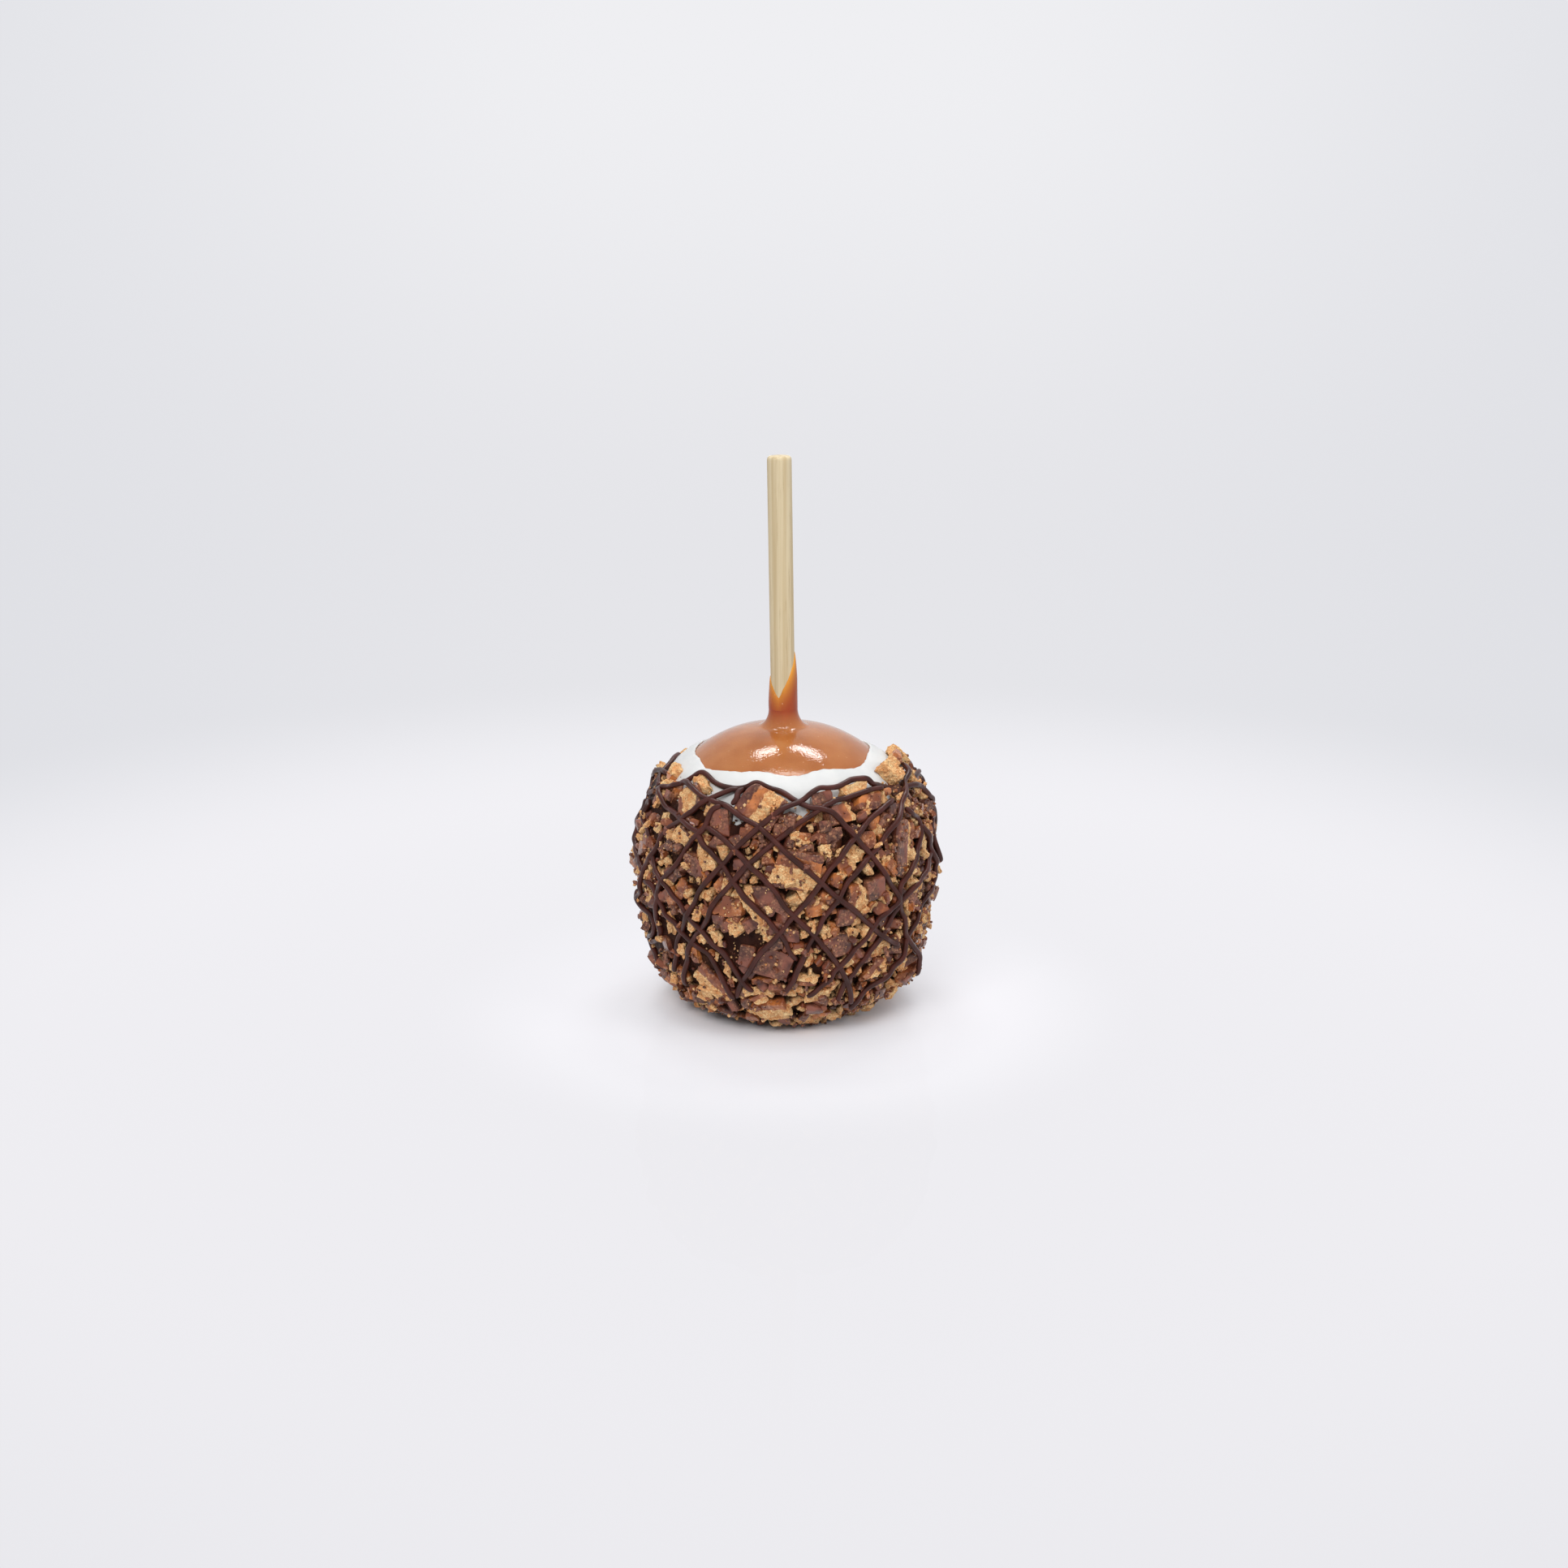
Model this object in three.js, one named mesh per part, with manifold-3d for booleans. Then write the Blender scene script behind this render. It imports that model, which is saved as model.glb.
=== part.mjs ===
// A caramel apple on a wooden stick, with a white candy coat over the caramel and, over that,
// a crust of chopped biscuit-caramel bars tied down by a lattice of dark chocolate drizzle.
// Millimetres. +Z runs up the stick, -Y faces the viewer, and the origin is the middle of the
// flat foot that the apple rests on. An azimuth is in degrees: 0 faces -Y and 90 faces +X.

import * as THREE from "three";
import { mergeVertices } from "three/addons/utils/BufferGeometryUtils.js";
import Module from "manifold-3d";

const wasm = await Module();
wasm.setup();

// ---- Driving dimensions ----

const gap = 0.3; // clearance between neighbouring solids
const sides = 28; // facets round the apple
const shortestEdge = 0.6; // shorter edges that joining leaves are drawn together
const weld = 1e-4; // corners closer than this are one corner

// The caramel-dipped apple: two half superellipses that meet at its widest ring.
const apple = {
  radius: 34.8,
  centre: 40,
  crown: 35.8,
  base: 35.6,
  crownPower: 2.4,
  basePower: 3.4,
};

// A quarter-inch dowel, cut to four and a half inches, that leans to -X.
const stick = {
  diameter: 6.35,
  length: 114.3,
  top: 147,
  chamferWidth: 0.85,
  chamferHeight: 1,
  lean: 0.87,
  facets: 24,
};

// Caramel that climbs the stick, and its lip: azimuth and height of each crest and notch.
const collar = {
  radius: 3.85,
  filletRadius: 8,
  filletFoot: 74.6,
  filletTop: 80,
  filletTurns: [0, 20, 42, 65, 90],
  lipNominal: 90,
  lipRadius: 3.62,
  lipTaper: 1.6,
  lip: [
    [-90, 89.6],
    [-20, 84],
    [88, 96],
    [180, 86],
  ],
};

// The white coat, and the elevation of its edge, seen from the apple's centre, by azimuth.
const coat = {
  thickness: 1.3,
  rim: [
    [-140, 50],
    [-105, 52],
    [-70, 51.2],
    [-52, 48.5],
    [-30, 50],
    [-15, 51.3],
    [6, 49.4],
    [25, 51.6],
    [50, 49.4],
    [80, 52.8],
    [130, 50.5],
    [175, 52],
  ],
};

// The crust's bed under the chopped pieces, its upper edge by azimuth, and its flat foot.
const bed = {
  thickness: 1.4,
  footRadius: 22.5,
  footFlare: 26,
  footHeight: 4.6,
  rim: [
    [-130, 41],
    [-86, 43],
    [-60, 41.5],
    [-25, 42],
    [4, 38],
    [25, 41],
    [45, 39.5],
    [75, 43],
    [105, 42],
    [140, 40],
    [180, 42.5],
  ],
};

// Chopped pieces: sizes of the pieces that the rule scatters, and how they sit. The crest is
// how far their faces stand out of the crust's inner face, by elevation.
const chop = {
  count: 116,
  seed: 20,
  longest: 11.5,
  shortest: 6.2,
  widthShare: [0.55, 0.95],
  thickness: [3, 5],
  tilt: 14,
  cornerShare: [0.74, 1.04],
  crest: [
    [-90, 3],
    [-62, 4],
    [-25, 2.2],
    [0, 3.3],
    [20, 2.6],
    [42, 2],
  ],
  crestScatter: 0.7,
  lowest: -84,
  highest: 41,
};

// Pieces that stand out on the front: azimuth, height, length, width, thickness, spin and lift.
const heroes = [
  { at: [-6.5, 64.5], size: [8, 6.4, 5], spin: 60, lift: 0.4 },
  { at: [4.4, 48.3], size: [11.6, 9.4, 5.6], spin: 20, lift: 1 },
  { at: [-2.8, 24.6], size: [8.8, 7.6, 4], spin: 115, lift: 0.8 },
  { at: [-40, 63.7], size: [8.6, 7, 5], spin: 35, lift: 0.4 },
  { at: [-99, 62], size: [8, 6, 4.6], spin: 0, lift: 0.6 },
  { at: [76, 66], size: [9, 8, 5.4], spin: 10, lift: 0.6 },
  { at: [49, 51.4], size: [11.4, 5.4, 5], spin: 82, lift: 0.8 },
  { at: [33.4, 41.1], size: [6.4, 5.6, 5], spin: 30, lift: 0.8 },
  { at: [21, 60.5], size: [8.4, 6, 4.6], spin: 15, lift: 0.2 },
  { at: [-25.5, 59.4], size: [7.6, 6.4, 4.4], spin: 50, lift: 0.3 },
  { at: [-11.3, 38.3], size: [10, 4.6, 4.6], spin: 125, lift: 0.6 },
  { at: [18.3, 29.1], size: [8, 6.6, 4.6], spin: 160, lift: 0.4 },
  { at: [-30.8, 12.1], size: [10, 7, 5], spin: 145, lift: 0.6 },
  { at: [-4.4, 8.8], size: [9.4, 7.4, 5], spin: 20, lift: 1.2 },
  { at: [58, 13.6], size: [9.6, 6, 3.6], spin: 70, lift: 2.2 },
  { at: [96, 50], size: [9.4, 7, 5], spin: 70, lift: 1.2 },
  { at: [-94, 20], size: [8, 6, 4.6], spin: 100, lift: 1 },
];

// Drizzle strokes on the front: each starts, bends over and ends at an azimuth and a height.
const drizzle = {
  width: 1.8,
  rise: 0.9,
  facets: 3,
  step: 5.5,
  probe: 1,
  probeFrom: 14,
  bridge: 3,
  seed: 5,
  turns: [122, 238],
  shortestTurned: 35,
  azimuthScatter: 5,
  heightScatter: 1.6,
  strokes: [
    { from: [-56, 65], over: [0, 64], to: [42, 26] },
    { from: [-56, 64], over: [-40, 68], to: [-12, 68] },
    { from: [-12, 68], over: [30, 64], to: [56, 15] },
    { from: [-32, 57], over: [-6, 50], to: [28, 10] },
    { from: [-33, 54], over: [-14, 46], to: [2, 27] },
    { from: [-74, 62], over: [-56, 59], to: [-34, 56] },
    { from: [-80, 57], over: [-48, 46], to: [-13, 16] },
    { from: [-58, 39], over: [-42, 34], to: [-20, 14] },
    { from: [55, 59], over: [66, 54], to: [77, 37] },
    { from: [62, 64], over: [42, 67], to: [13, 65] },
    { from: [13, 65], over: [-26, 60], to: [-48, 15] },
    { from: [49, 64], over: [-16, 64], to: [-45, 13] },
    { from: [-24, 66], over: [-50, 60], to: [-62, 41] },
    { from: [-28, 62], over: [-40, 53], to: [-52, 39] },
    { from: [49, 62], over: [14, 56], to: [-21, 12] },
    { from: [94, 65], over: [36, 64], to: [-1, 16] },
    { from: [63, 53], over: [36, 42], to: [8, 14] },
    { from: [56, 41], over: [32, 30], to: [20, 12] },
    { from: [76, 40], over: [54, 36], to: [26, 7] },
  ],
};

const floorBlock = [120, 120, 20]; // wide and deep enough to trim all that reaches below the floor

const colours = {
  caramel: 0xb5713f,
  coat: 0xeeeeed,
  crust: 0x8a5a3c,
  wood: 0xd6c49c,
};

// ---- Small helpers ----

const radians = THREE.MathUtils.degToRad;

// A repeatable stream of numbers from 0 to 1.
function drawsFrom(seed) {
  let state = seed;
  return () => {
    state = (state + 0x6d2b79f5) | 0;
    let mixed = Math.imul(state ^ (state >>> 15), state | 1);
    mixed = (mixed + Math.imul(mixed ^ (mixed >>> 7), mixed | 61)) ^ mixed;
    return ((mixed ^ (mixed >>> 14)) >>> 0) / 2 ** 32;
  };
}

// A smooth curve through [place, value] pairs that are sorted by place, level past its ends.
function throughPairs(pairs) {
  return (place) => {
    const next = pairs.findIndex(([at]) => at > place);
    if (next <= 0) return pairs.at(next)[1]; // before the first pair, or past the last
    const [from, start] = pairs[next - 1];
    const [to, end] = pairs[next];
    const along = (place - from) / (to - from);
    return THREE.MathUtils.lerp(start, end, (1 - Math.cos(along * Math.PI)) / 2);
  };
}

// The same curve closed round the apple, for places that are azimuths from -180 to 180.
function aroundPairs(pairs) {
  const [firstAt, first] = pairs[0];
  const [lastAt, last] = pairs.at(-1);
  return throughPairs([[lastAt - 360, last], ...pairs, [firstAt + 360, first]]);
}

const rimOfCoat = aroundPairs(coat.rim);
const rimOfBed = aroundPairs(bed.rim);
const lipOfCollar = aroundPairs(collar.lip);
const crestAt = throughPairs(chop.crest);

// Where the stick's axis is at a height; it crosses the apple's axis at the collar's foot.
const stickAxisX = (height) => (collar.filletFoot - height) * Math.tan(radians(stick.lean));

// The apple's side at an elevation (degrees) from its centre, moved outwards: radius and height.
function side(elevation, out) {
  const rise = Math.sin(radians(elevation));
  const reachOut = Math.max(Math.cos(radians(elevation)), 0);
  const half = rise < 0 ? apple.base : apple.crown;
  const power = rise < 0 ? apple.basePower : apple.crownPower;
  const across = reachOut / apple.radius;
  const up = Math.abs(rise) / half;
  const reach = (across ** power + up ** power) ** (-1 / power);
  const normal = new THREE.Vector2(
    across ** (power - 1) / apple.radius,
    (Math.sign(rise) * up ** (power - 1)) / half,
  ).normalize();
  return new THREE.Vector2(reach * reachOut, apple.centre + reach * rise).addScaledVector(normal, out);
}

// A point from azimuth, radius and height.
function placed(azimuth, radius, height) {
  const turn = radians(azimuth);
  return new THREE.Vector3(radius * Math.sin(turn), -radius * Math.cos(turn), height);
}

// A point that stands a given distance out from the apple's side.
function onSide(azimuth, elevation, out) {
  const { x: radius, y: height } = side(elevation, out);
  return placed(azimuth, radius, height);
}

// The elevation at which the crust's crest passes a height.
function elevationAt(height) {
  let low = -90;
  let high = 90;
  while (high - low > 0.01) {
    const middle = (low + high) / 2;
    if (side(middle, crustOut + crestAt(middle)).y < height) low = middle;
    else high = middle;
  }
  return low;
}

// Turns a profile of [across, along] pairs round the axis, and moves each point by a rule.
function turned(profile, facets, moved) {
  const points = profile.map(([across, along]) => new THREE.Vector2(across, along));
  const geometry = new THREE.LatheGeometry(points, facets);
  const position = geometry.getAttribute("position");
  for (let i = 0; i < position.count; i++) {
    const [x, along, z] = [position.getX(i), position.getY(i), position.getZ(i)];
    const across = Math.hypot(x, z);
    const azimuth = THREE.MathUtils.radToDeg(Math.atan2(x, z));
    position.setXYZ(i, ...moved(azimuth, across, along).toArray());
  }
  return welded(geometry);
}

// The same geometry with only its positions, and its shared corners merged.
function welded(geometry) {
  geometry.deleteAttribute("normal");
  geometry.deleteAttribute("uv");
  return mergeVertices(geometry, weld);
}

// A closed geometry as a solid that can be joined and cut; it is turned right side out.
function solidFrom(geometry) {
  const triVerts = new Uint32Array(geometry.index.array);
  const vertProperties = new Float32Array(geometry.getAttribute("position").array);
  const made = new wasm.Manifold(new wasm.Mesh({ numProp: 3, vertProperties, triVerts }));
  if (made.volume() > 0) return made;
  return new wasm.Manifold(new wasm.Mesh({ numProp: 3, vertProperties, triVerts: triVerts.reverse() }));
}

// A solid back as a geometry: its largest body alone, which also fills any sealed hollow.
function geometryFrom(solid) {
  const bodies = solid.decompose();
  const largest = bodies.reduce((best, body) => (body.volume() > best.volume() ? body : best));
  const mesh = largest.getMesh();
  const corners = Array.from({ length: mesh.numVert }, (_, i) =>
    new THREE.Vector3().fromArray(mesh.vertProperties, i * mesh.numProp),
  );
  const faces = withoutShortEdges(corners, Array.from(mesh.triVerts));
  const geometry = new THREE.BufferGeometry().setFromPoints(faces.map((corner) => corners[corner]));
  const merged = mergeVertices(geometry, weld);
  merged.computeVertexNormals();
  return merged;
}

// Triangles, three corner numbers each, after every edge shorter than the shortest that joining
// may leave is drawn together into one corner, where that keeps the surface closed and unfolded.
function withoutShortEdges(corners, triVerts) {
  const faces = [];
  for (let i = 0; i < triVerts.length; i += 3) faces.push(triVerts.slice(i, i + 3));
  const facesAt = corners.map(() => new Set());
  faces.forEach((face) => face.forEach((corner) => facesAt[corner].add(face)));
  const next = (corner) => new Set([...facesAt[corner]].flat().filter((other) => other !== corner));
  const normal = (points) => new THREE.Triangle(...points).getNormal(new THREE.Vector3());
  const area = (points) => new THREE.Triangle(...points).getArea();
  const pointsOf = (face) => face.map((corner) => corners[corner]);
  const canJoin = (gone, kept) => {
    const shared = [...next(gone)].filter((corner) => next(kept).has(corner));
    if (shared.length !== 2) return false;
    return [...facesAt[gone]].every((face) => {
      if (face.includes(kept)) return true;
      const before = pointsOf(face);
      const after = face.map((corner) => corners[corner === gone ? kept : corner]);
      const isSliver = area(before) < shortestEdge ** 2 / 8;
      return area(after) > 1e-6 && (isSliver || normal(before).dot(normal(after)) > 0.7);
    });
  };
  const join = (gone, kept) => {
    for (const face of [...facesAt[gone]]) {
      const isLost = face.includes(kept);
      if (isLost) face.forEach((corner) => facesAt[corner].delete(face));
      else {
        face[face.indexOf(gone)] = kept;
        facesAt[kept].add(face);
      }
    }
    facesAt[gone].clear();
  };
  let joined = true;
  while (joined) {
    joined = false;
    for (let corner = 0; corner < corners.length; corner++) {
      const near = [...next(corner)].find(
        (other) => corners[other].distanceTo(corners[corner]) < shortestEdge && canJoin(corner, other),
      );
      if (near === undefined) continue;
      join(corner, near);
      joined = true;
    }
  }
  return [...new Set(facesAt.flatMap((set) => [...set]))].flat();
}

function piece(name, geometry, colour, roughness) {
  const material = new THREE.MeshStandardMaterial({ color: colour, roughness, metalness: 0 });
  const mesh = new THREE.Mesh(geometry, material);
  mesh.name = name;
  return mesh;
}

// ---- The layers ----

const coatOut = gap + coat.thickness; // the coat's outer face, from the caramel
const crustOut = coatOut + gap; // the crust's inner face, from the caramel
const sharedRings = [-90, -68, -46, -24, -2, 20, 32, 40]; // elevations where every layer has a ring
const domeRings = [46, 52, 58, 64, 70, 75];

// A bowl round the apple, from its pole up to a rim that rises and falls with the azimuth.
// Its rings slide with the rim from the elevation slideFrom upwards, and its edge is rounded.
function bowl(inner, outer, rimNominal, rimAt) {
  const slideFrom = 20;
  const rings = sharedRings.filter((ring) => ring < rimNominal - 4);
  const round = (outer - inner) / 4;
  const profile = [
    ...rings.map((ring) => [ring, outer]),
    [rimNominal - 1, outer],
    [rimNominal - 0.2, outer - round],
    [rimNominal - 0.2, inner + round],
    [rimNominal - 1, inner],
    ...rings.toReversed().map((ring) => [ring, inner]),
  ].map(([ring, out]) => [ring + 90, out]);
  return turned(profile, sides, (azimuth, across, out) => {
    const ring = across - 90;
    const slide = Math.max(0, (ring - slideFrom) / (rimNominal - slideFrom));
    return onSide(azimuth, ring + slide * (rimAt(azimuth) - rimNominal), out);
  });
}

function makeStick() {
  const radius = stick.diameter / 2;
  const profile = [
    [0, 0],
    [radius - stick.chamferWidth, 0],
    [radius, stick.chamferHeight],
    [radius, stick.length - stick.chamferHeight],
    [radius - stick.chamferWidth, stick.length],
    [0, stick.length],
  ];
  const geometry = turned(profile, stick.facets, placed);
  const mesh = piece("stick", geometry, colours.wood, 0.62);
  const foot = stick.top - stick.length * Math.cos(radians(stick.lean));
  mesh.position.set(stickAxisX(foot), 0, foot);
  mesh.rotation.y = -radians(stick.lean);
  return mesh;
}

// The fillet from the dome into the collar: a quarter of an ellipse.
function filletPoint(turn) {
  const reach = collar.filletRadius - collar.radius;
  const climb = collar.filletTop - collar.filletFoot;
  return [
    collar.radius + reach * (1 - Math.sin(radians(turn))),
    collar.filletFoot + climb * (1 - Math.cos(radians(turn))),
  ];
}

// The dipped apple: its body, the fillet and collar round the stick, and the stick's blind hole.
// The collar and the hole follow the leaning stick, and the lip rises and falls round it.
function makeCaramel() {
  const holeRadius = stick.diameter / 2 + gap;
  const holeFoot = stick.top - stick.length - gap;
  const profile = [
    ...[...sharedRings, ...domeRings].map((ring) => side(ring, 0).toArray()),
    ...collar.filletTurns.map(filletPoint),
    [collar.radius, collar.lipNominal - collar.lipTaper],
    [collar.lipRadius, collar.lipNominal],
    [holeRadius, collar.lipNominal - gap],
    [holeRadius, holeFoot],
    [0, holeFoot],
  ];
  const geometry = turned(profile, sides, (azimuth, radius, height) => {
    const isBody = radius > collar.radius + weld || height < holeFoot;
    if (isBody) return placed(azimuth, radius, height);
    const above = Math.max(0, height - collar.filletTop) / (collar.lipNominal - collar.filletTop);
    const level = Math.min(height, collar.filletTop);
    const lifted = level + above * (lipOfCollar(azimuth) - collar.filletTop);
    return placed(azimuth, radius, lifted).add(new THREE.Vector3(stickAxisX(lifted), 0, 0));
  });
  return piece("caramel", geometry, colours.caramel, 0.28);
}

function makeCoat() {
  const geometry = bowl(gap, coatOut, 52, rimOfCoat);
  return piece("white_coat", geometry, colours.coat, 0.55);
}

// ---- The crust ----

// Elevations that split the crust into equal areas: a share from 0 at its foot to 1 at its rim.
function elevationByArea(share) {
  const steps = 90;
  const reach = [0];
  const at = (i) => chop.lowest + ((chop.highest - chop.lowest) * i) / steps;
  for (let i = 0; i < steps; i++) {
    const here = side(at(i), crustOut);
    const there = side(at(i + 1), crustOut);
    reach.push(reach[i] + ((here.x + there.x) / 2) * here.distanceTo(there));
  }
  const wanted = share * reach[steps];
  const i = Math.max(1, reach.findIndex((sum) => sum >= wanted));
  return at(i - 1 + (wanted - reach[i - 1]) / (reach[i] - reach[i - 1]));
}

// Every chopped piece: the hand-placed ones first, then the scattered ones clear of them.
function choppedPieces() {
  const draw = drawsFrom(chop.seed);
  const between = ([low, high]) => low + (high - low) * draw();
  const corners = () => Array.from({ length: 8 }, () => between(chop.cornerShare));
  const pieces = heroes.map(({ at: [azimuth, height], size, spin, lift }) => ({
    azimuth,
    elevation: elevationAt(height),
    size,
    spin,
    tilt: [(draw() - 0.5) * chop.tilt * 0.5, (draw() - 0.5) * chop.tilt * 0.5],
    out: crestAt(elevationAt(height)) + lift - size[2] / 2,
    corners: corners(),
  }));
  const goldenTurn = 180 * (3 - Math.sqrt(5));
  for (let i = 0; i < chop.count; i++) {
    const azimuth = ((i * goldenTurn + 8 * draw()) % 360) - 180;
    const elevation = elevationByArea((i + 0.5) / chop.count);
    const length = chop.shortest + (chop.longest - chop.shortest) * draw() ** 1.7;
    const size = [length, length * between(chop.widthShare), between(chop.thickness)];
    const spin = 360 * draw();
    const tilt = [(draw() - 0.5) * 2 * chop.tilt, (draw() - 0.5) * 2 * chop.tilt];
    const out = crestAt(elevation) + chop.crestScatter * (2 * draw() - 1) - size[2] / 2;
    const shape = { azimuth, elevation, size, spin, tilt, out, corners: corners() };
    const middle = onSide(azimuth, elevation, crustOut + out);
    const isCovered = pieces.slice(0, heroes.length).some((hero) => {
      const there = onSide(hero.azimuth, hero.elevation, crustOut + hero.out);
      return there.distanceTo(middle) < hero.size[1] / 2 + size[1] * 0.3;
    });
    if (!isCovered) pieces.push(shape);
  }
  return pieces;
}

// The matrix that sets a piece down: length and width along the side, thickness outwards.
function settingOf({ azimuth, elevation, spin, tilt, out }) {
  const middle = onSide(azimuth, elevation, crustOut + out);
  const outward = onSide(azimuth, elevation, 1).sub(onSide(azimuth, elevation, 0)).normalize();
  const level = placed(azimuth + 90, 1, 0);
  const uphill = new THREE.Vector3().crossVectors(outward, level);
  const frame = new THREE.Matrix4().makeBasis(level, uphill, outward).setPosition(middle);
  const turn = new THREE.Euler(radians(tilt[0]), radians(tilt[1]), radians(spin), "ZXY");
  return frame.multiply(new THREE.Matrix4().makeRotationFromEuler(turn));
}

function chunkSolid(shape) {
  const geometry = welded(new THREE.BoxGeometry(1, 1, 1));
  const position = geometry.getAttribute("position");
  const [length, width, thickness] = shape.size;
  for (let i = 0; i < position.count; i++) {
    const share = shape.corners[cornerOf(position, i)];
    position.setXYZ(
      i,
      position.getX(i) * length * share,
      position.getY(i) * width * share,
      position.getZ(i) * thickness,
    );
  }
  geometry.applyMatrix4(settingOf(shape));
  return solidFrom(geometry);
}

// Which of the box's eight corners a vertex is: one bit for each axis.
function cornerOf(position, i) {
  const signs = [position.getX(i) > 0, position.getY(i) > 0, position.getZ(i) > 0];
  return signs.reduce((sum, isHigh, axis) => sum + (isHigh ? 2 ** axis : 0), 0);
}

// A smooth bow from one place to another that leans towards the one between.
function bowed(from, over, to, share) {
  const rest = 1 - share;
  return from.map((start, i) => rest * rest * start + 2 * rest * share * over[i] + share * share * to[i]);
}

// All strokes: those of the front, then the longer ones again, mirrored, over each other third.
function allStrokes() {
  const draw = drawsFrom(drizzle.seed);
  const scattered = ([azimuth, height], turn) => [
    turn - azimuth + (2 * draw() - 1) * drizzle.azimuthScatter,
    height + (2 * draw() - 1) * drizzle.heightScatter,
  ];
  const long = drizzle.strokes.filter(({ from, to }) => Math.abs(to[0] - from[0]) > drizzle.shortestTurned);
  const copies = drizzle.turns.flatMap((turn) =>
    long.map(({ from, over, to }) => ({
      from: scattered(from, turn),
      over: scattered(over, turn),
      to: scattered(to, turn),
    })),
  );
  return [...drizzle.strokes, ...copies];
}

// The line that a stroke takes over the lumps below it, bridging the hollows between them.
function strokeLine({ from, over, to }, ground) {
  const placeAt = (share) => {
    const [azimuth, height] = bowed(from, over, to, share);
    return [azimuth, elevationAt(height)];
  };
  const route = Array.from({ length: 25 }, (_, i) => onSide(...placeAt(i / 24), crustOut));
  const count = Math.round(new THREE.CatmullRomCurve3(route).getLength() / drizzle.probe);
  const places = Array.from({ length: count + 1 }, (_, i) => placeAt(i / count));
  const outs = places.map((place) => groundBelow(...place, ground));
  const reach = Math.round(drizzle.bridge / drizzle.probe);
  const near = (values, i) => values.slice(Math.max(0, i - reach), i + reach + 1);
  const highest = outs.map((_, i) => Math.max(...near(outs, i)));
  const eased = highest.map((_, i) => near(highest, i).reduce((a, b) => a + b) / near(highest, i).length);
  return places.map((place, i) => onSide(...place, eased[i] + drizzle.rise));
}

// How far out of the apple's side the crust reaches at a place; its inner face where there is none.
function groundBelow(azimuth, elevation, ground) {
  const start = onSide(azimuth, elevation, crustOut + drizzle.probeFrom);
  const inward = onSide(azimuth, elevation, 0).sub(start);
  const length = inward.length();
  const [hit] = new THREE.Raycaster(start, inward.normalize(), 0, length).intersectObject(ground);
  return hit ? length - hit.distance : crustOut;
}

function strokeSolid(line) {
  const curve = new THREE.CatmullRomCurve3(line);
  const radius = drizzle.width / 2;
  const section = new THREE.Shape(
    Array.from({ length: drizzle.facets }, (_, i) => {
      const turn = (2 * Math.PI * i) / drizzle.facets;
      return new THREE.Vector2(radius * Math.cos(turn), radius * Math.sin(turn));
    }),
  );
  const steps = Math.max(3, Math.round(curve.getLength() / drizzle.step));
  const geometry = new THREE.ExtrudeGeometry(section, { extrudePath: curve, steps });
  return solidFrom(welded(geometry));
}

// The room that the crust keeps clear of: the coated apple inside it and the floor below it.
function clearRoom() {
  const rings = [...sharedRings, ...domeRings, 90];
  const profile = rings.map((ring) => [ring + 90, crustOut]);
  const inside = turned(profile, sides, (azimuth, across, out) => onSide(azimuth, across - 90, out));
  const below = new THREE.BoxGeometry(...floorBlock).translate(0, 0, -floorBlock[2] / 2);
  return solidFrom(inside).add(solidFrom(welded(below)));
}

function makeCrust() {
  const clear = clearRoom();
  const edge = Math.max(...bed.rim.map(([, elevation]) => elevation));
  const shell = bowl(crustOut - gap, crustOut + bed.thickness, edge, rimOfBed);
  const foot = new THREE.CylinderGeometry(bed.footFlare, bed.footRadius, bed.footHeight, sides);
  foot.rotateX(Math.PI / 2).translate(0, 0, bed.footHeight / 2);
  const solids = [solidFrom(shell), solidFrom(welded(foot)), ...choppedPieces().map(chunkSolid)];
  const lumps = wasm.Manifold.union(solids).subtract(clear);
  const ground = new THREE.Mesh(geometryFrom(lumps));
  const strokes = allStrokes().map((stroke) => strokeSolid(strokeLine(stroke, ground)));
  const crust = wasm.Manifold.union([lumps, ...strokes]).subtract(clear);
  return piece("candy_crust", geometryFrom(crust), colours.crust, 0.7);
}

const part = new THREE.Group();
part.add(makeStick(), makeCaramel(), makeCoat(), makeCrust());

export default part;
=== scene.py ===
# A caramel apple on a wooden stick: caramel, a white coat, a crust of chopped
# biscuit-caramel bars and a lattice of dark chocolate drizzle.
# Shapes are worked out in millimetres and made in metres. An azimuth of 0 faces -Y and 90 faces +X.
import math

import bmesh
import bpy
import numpy as np
from mathutils import Euler, Matrix, Vector, noise
from mathutils.bvhtree import BVHTree

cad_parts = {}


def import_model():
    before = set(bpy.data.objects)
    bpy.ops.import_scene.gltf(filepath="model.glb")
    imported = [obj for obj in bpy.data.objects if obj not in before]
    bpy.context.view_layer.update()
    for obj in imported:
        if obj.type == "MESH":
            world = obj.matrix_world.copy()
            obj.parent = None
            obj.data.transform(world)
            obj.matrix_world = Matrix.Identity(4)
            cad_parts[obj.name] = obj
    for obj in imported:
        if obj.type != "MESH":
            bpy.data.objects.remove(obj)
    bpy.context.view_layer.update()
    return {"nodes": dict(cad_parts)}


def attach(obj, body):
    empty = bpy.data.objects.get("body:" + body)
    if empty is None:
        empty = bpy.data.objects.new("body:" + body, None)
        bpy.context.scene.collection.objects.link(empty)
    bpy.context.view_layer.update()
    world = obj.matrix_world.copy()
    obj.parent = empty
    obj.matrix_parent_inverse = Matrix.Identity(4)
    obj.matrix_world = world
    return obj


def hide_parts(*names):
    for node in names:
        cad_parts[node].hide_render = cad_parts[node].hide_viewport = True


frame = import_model()
noise.seed_set(7)  # without a seed, noise vectors follow the clock and every run differs
metres = 0.001  # in a millimetre
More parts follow.
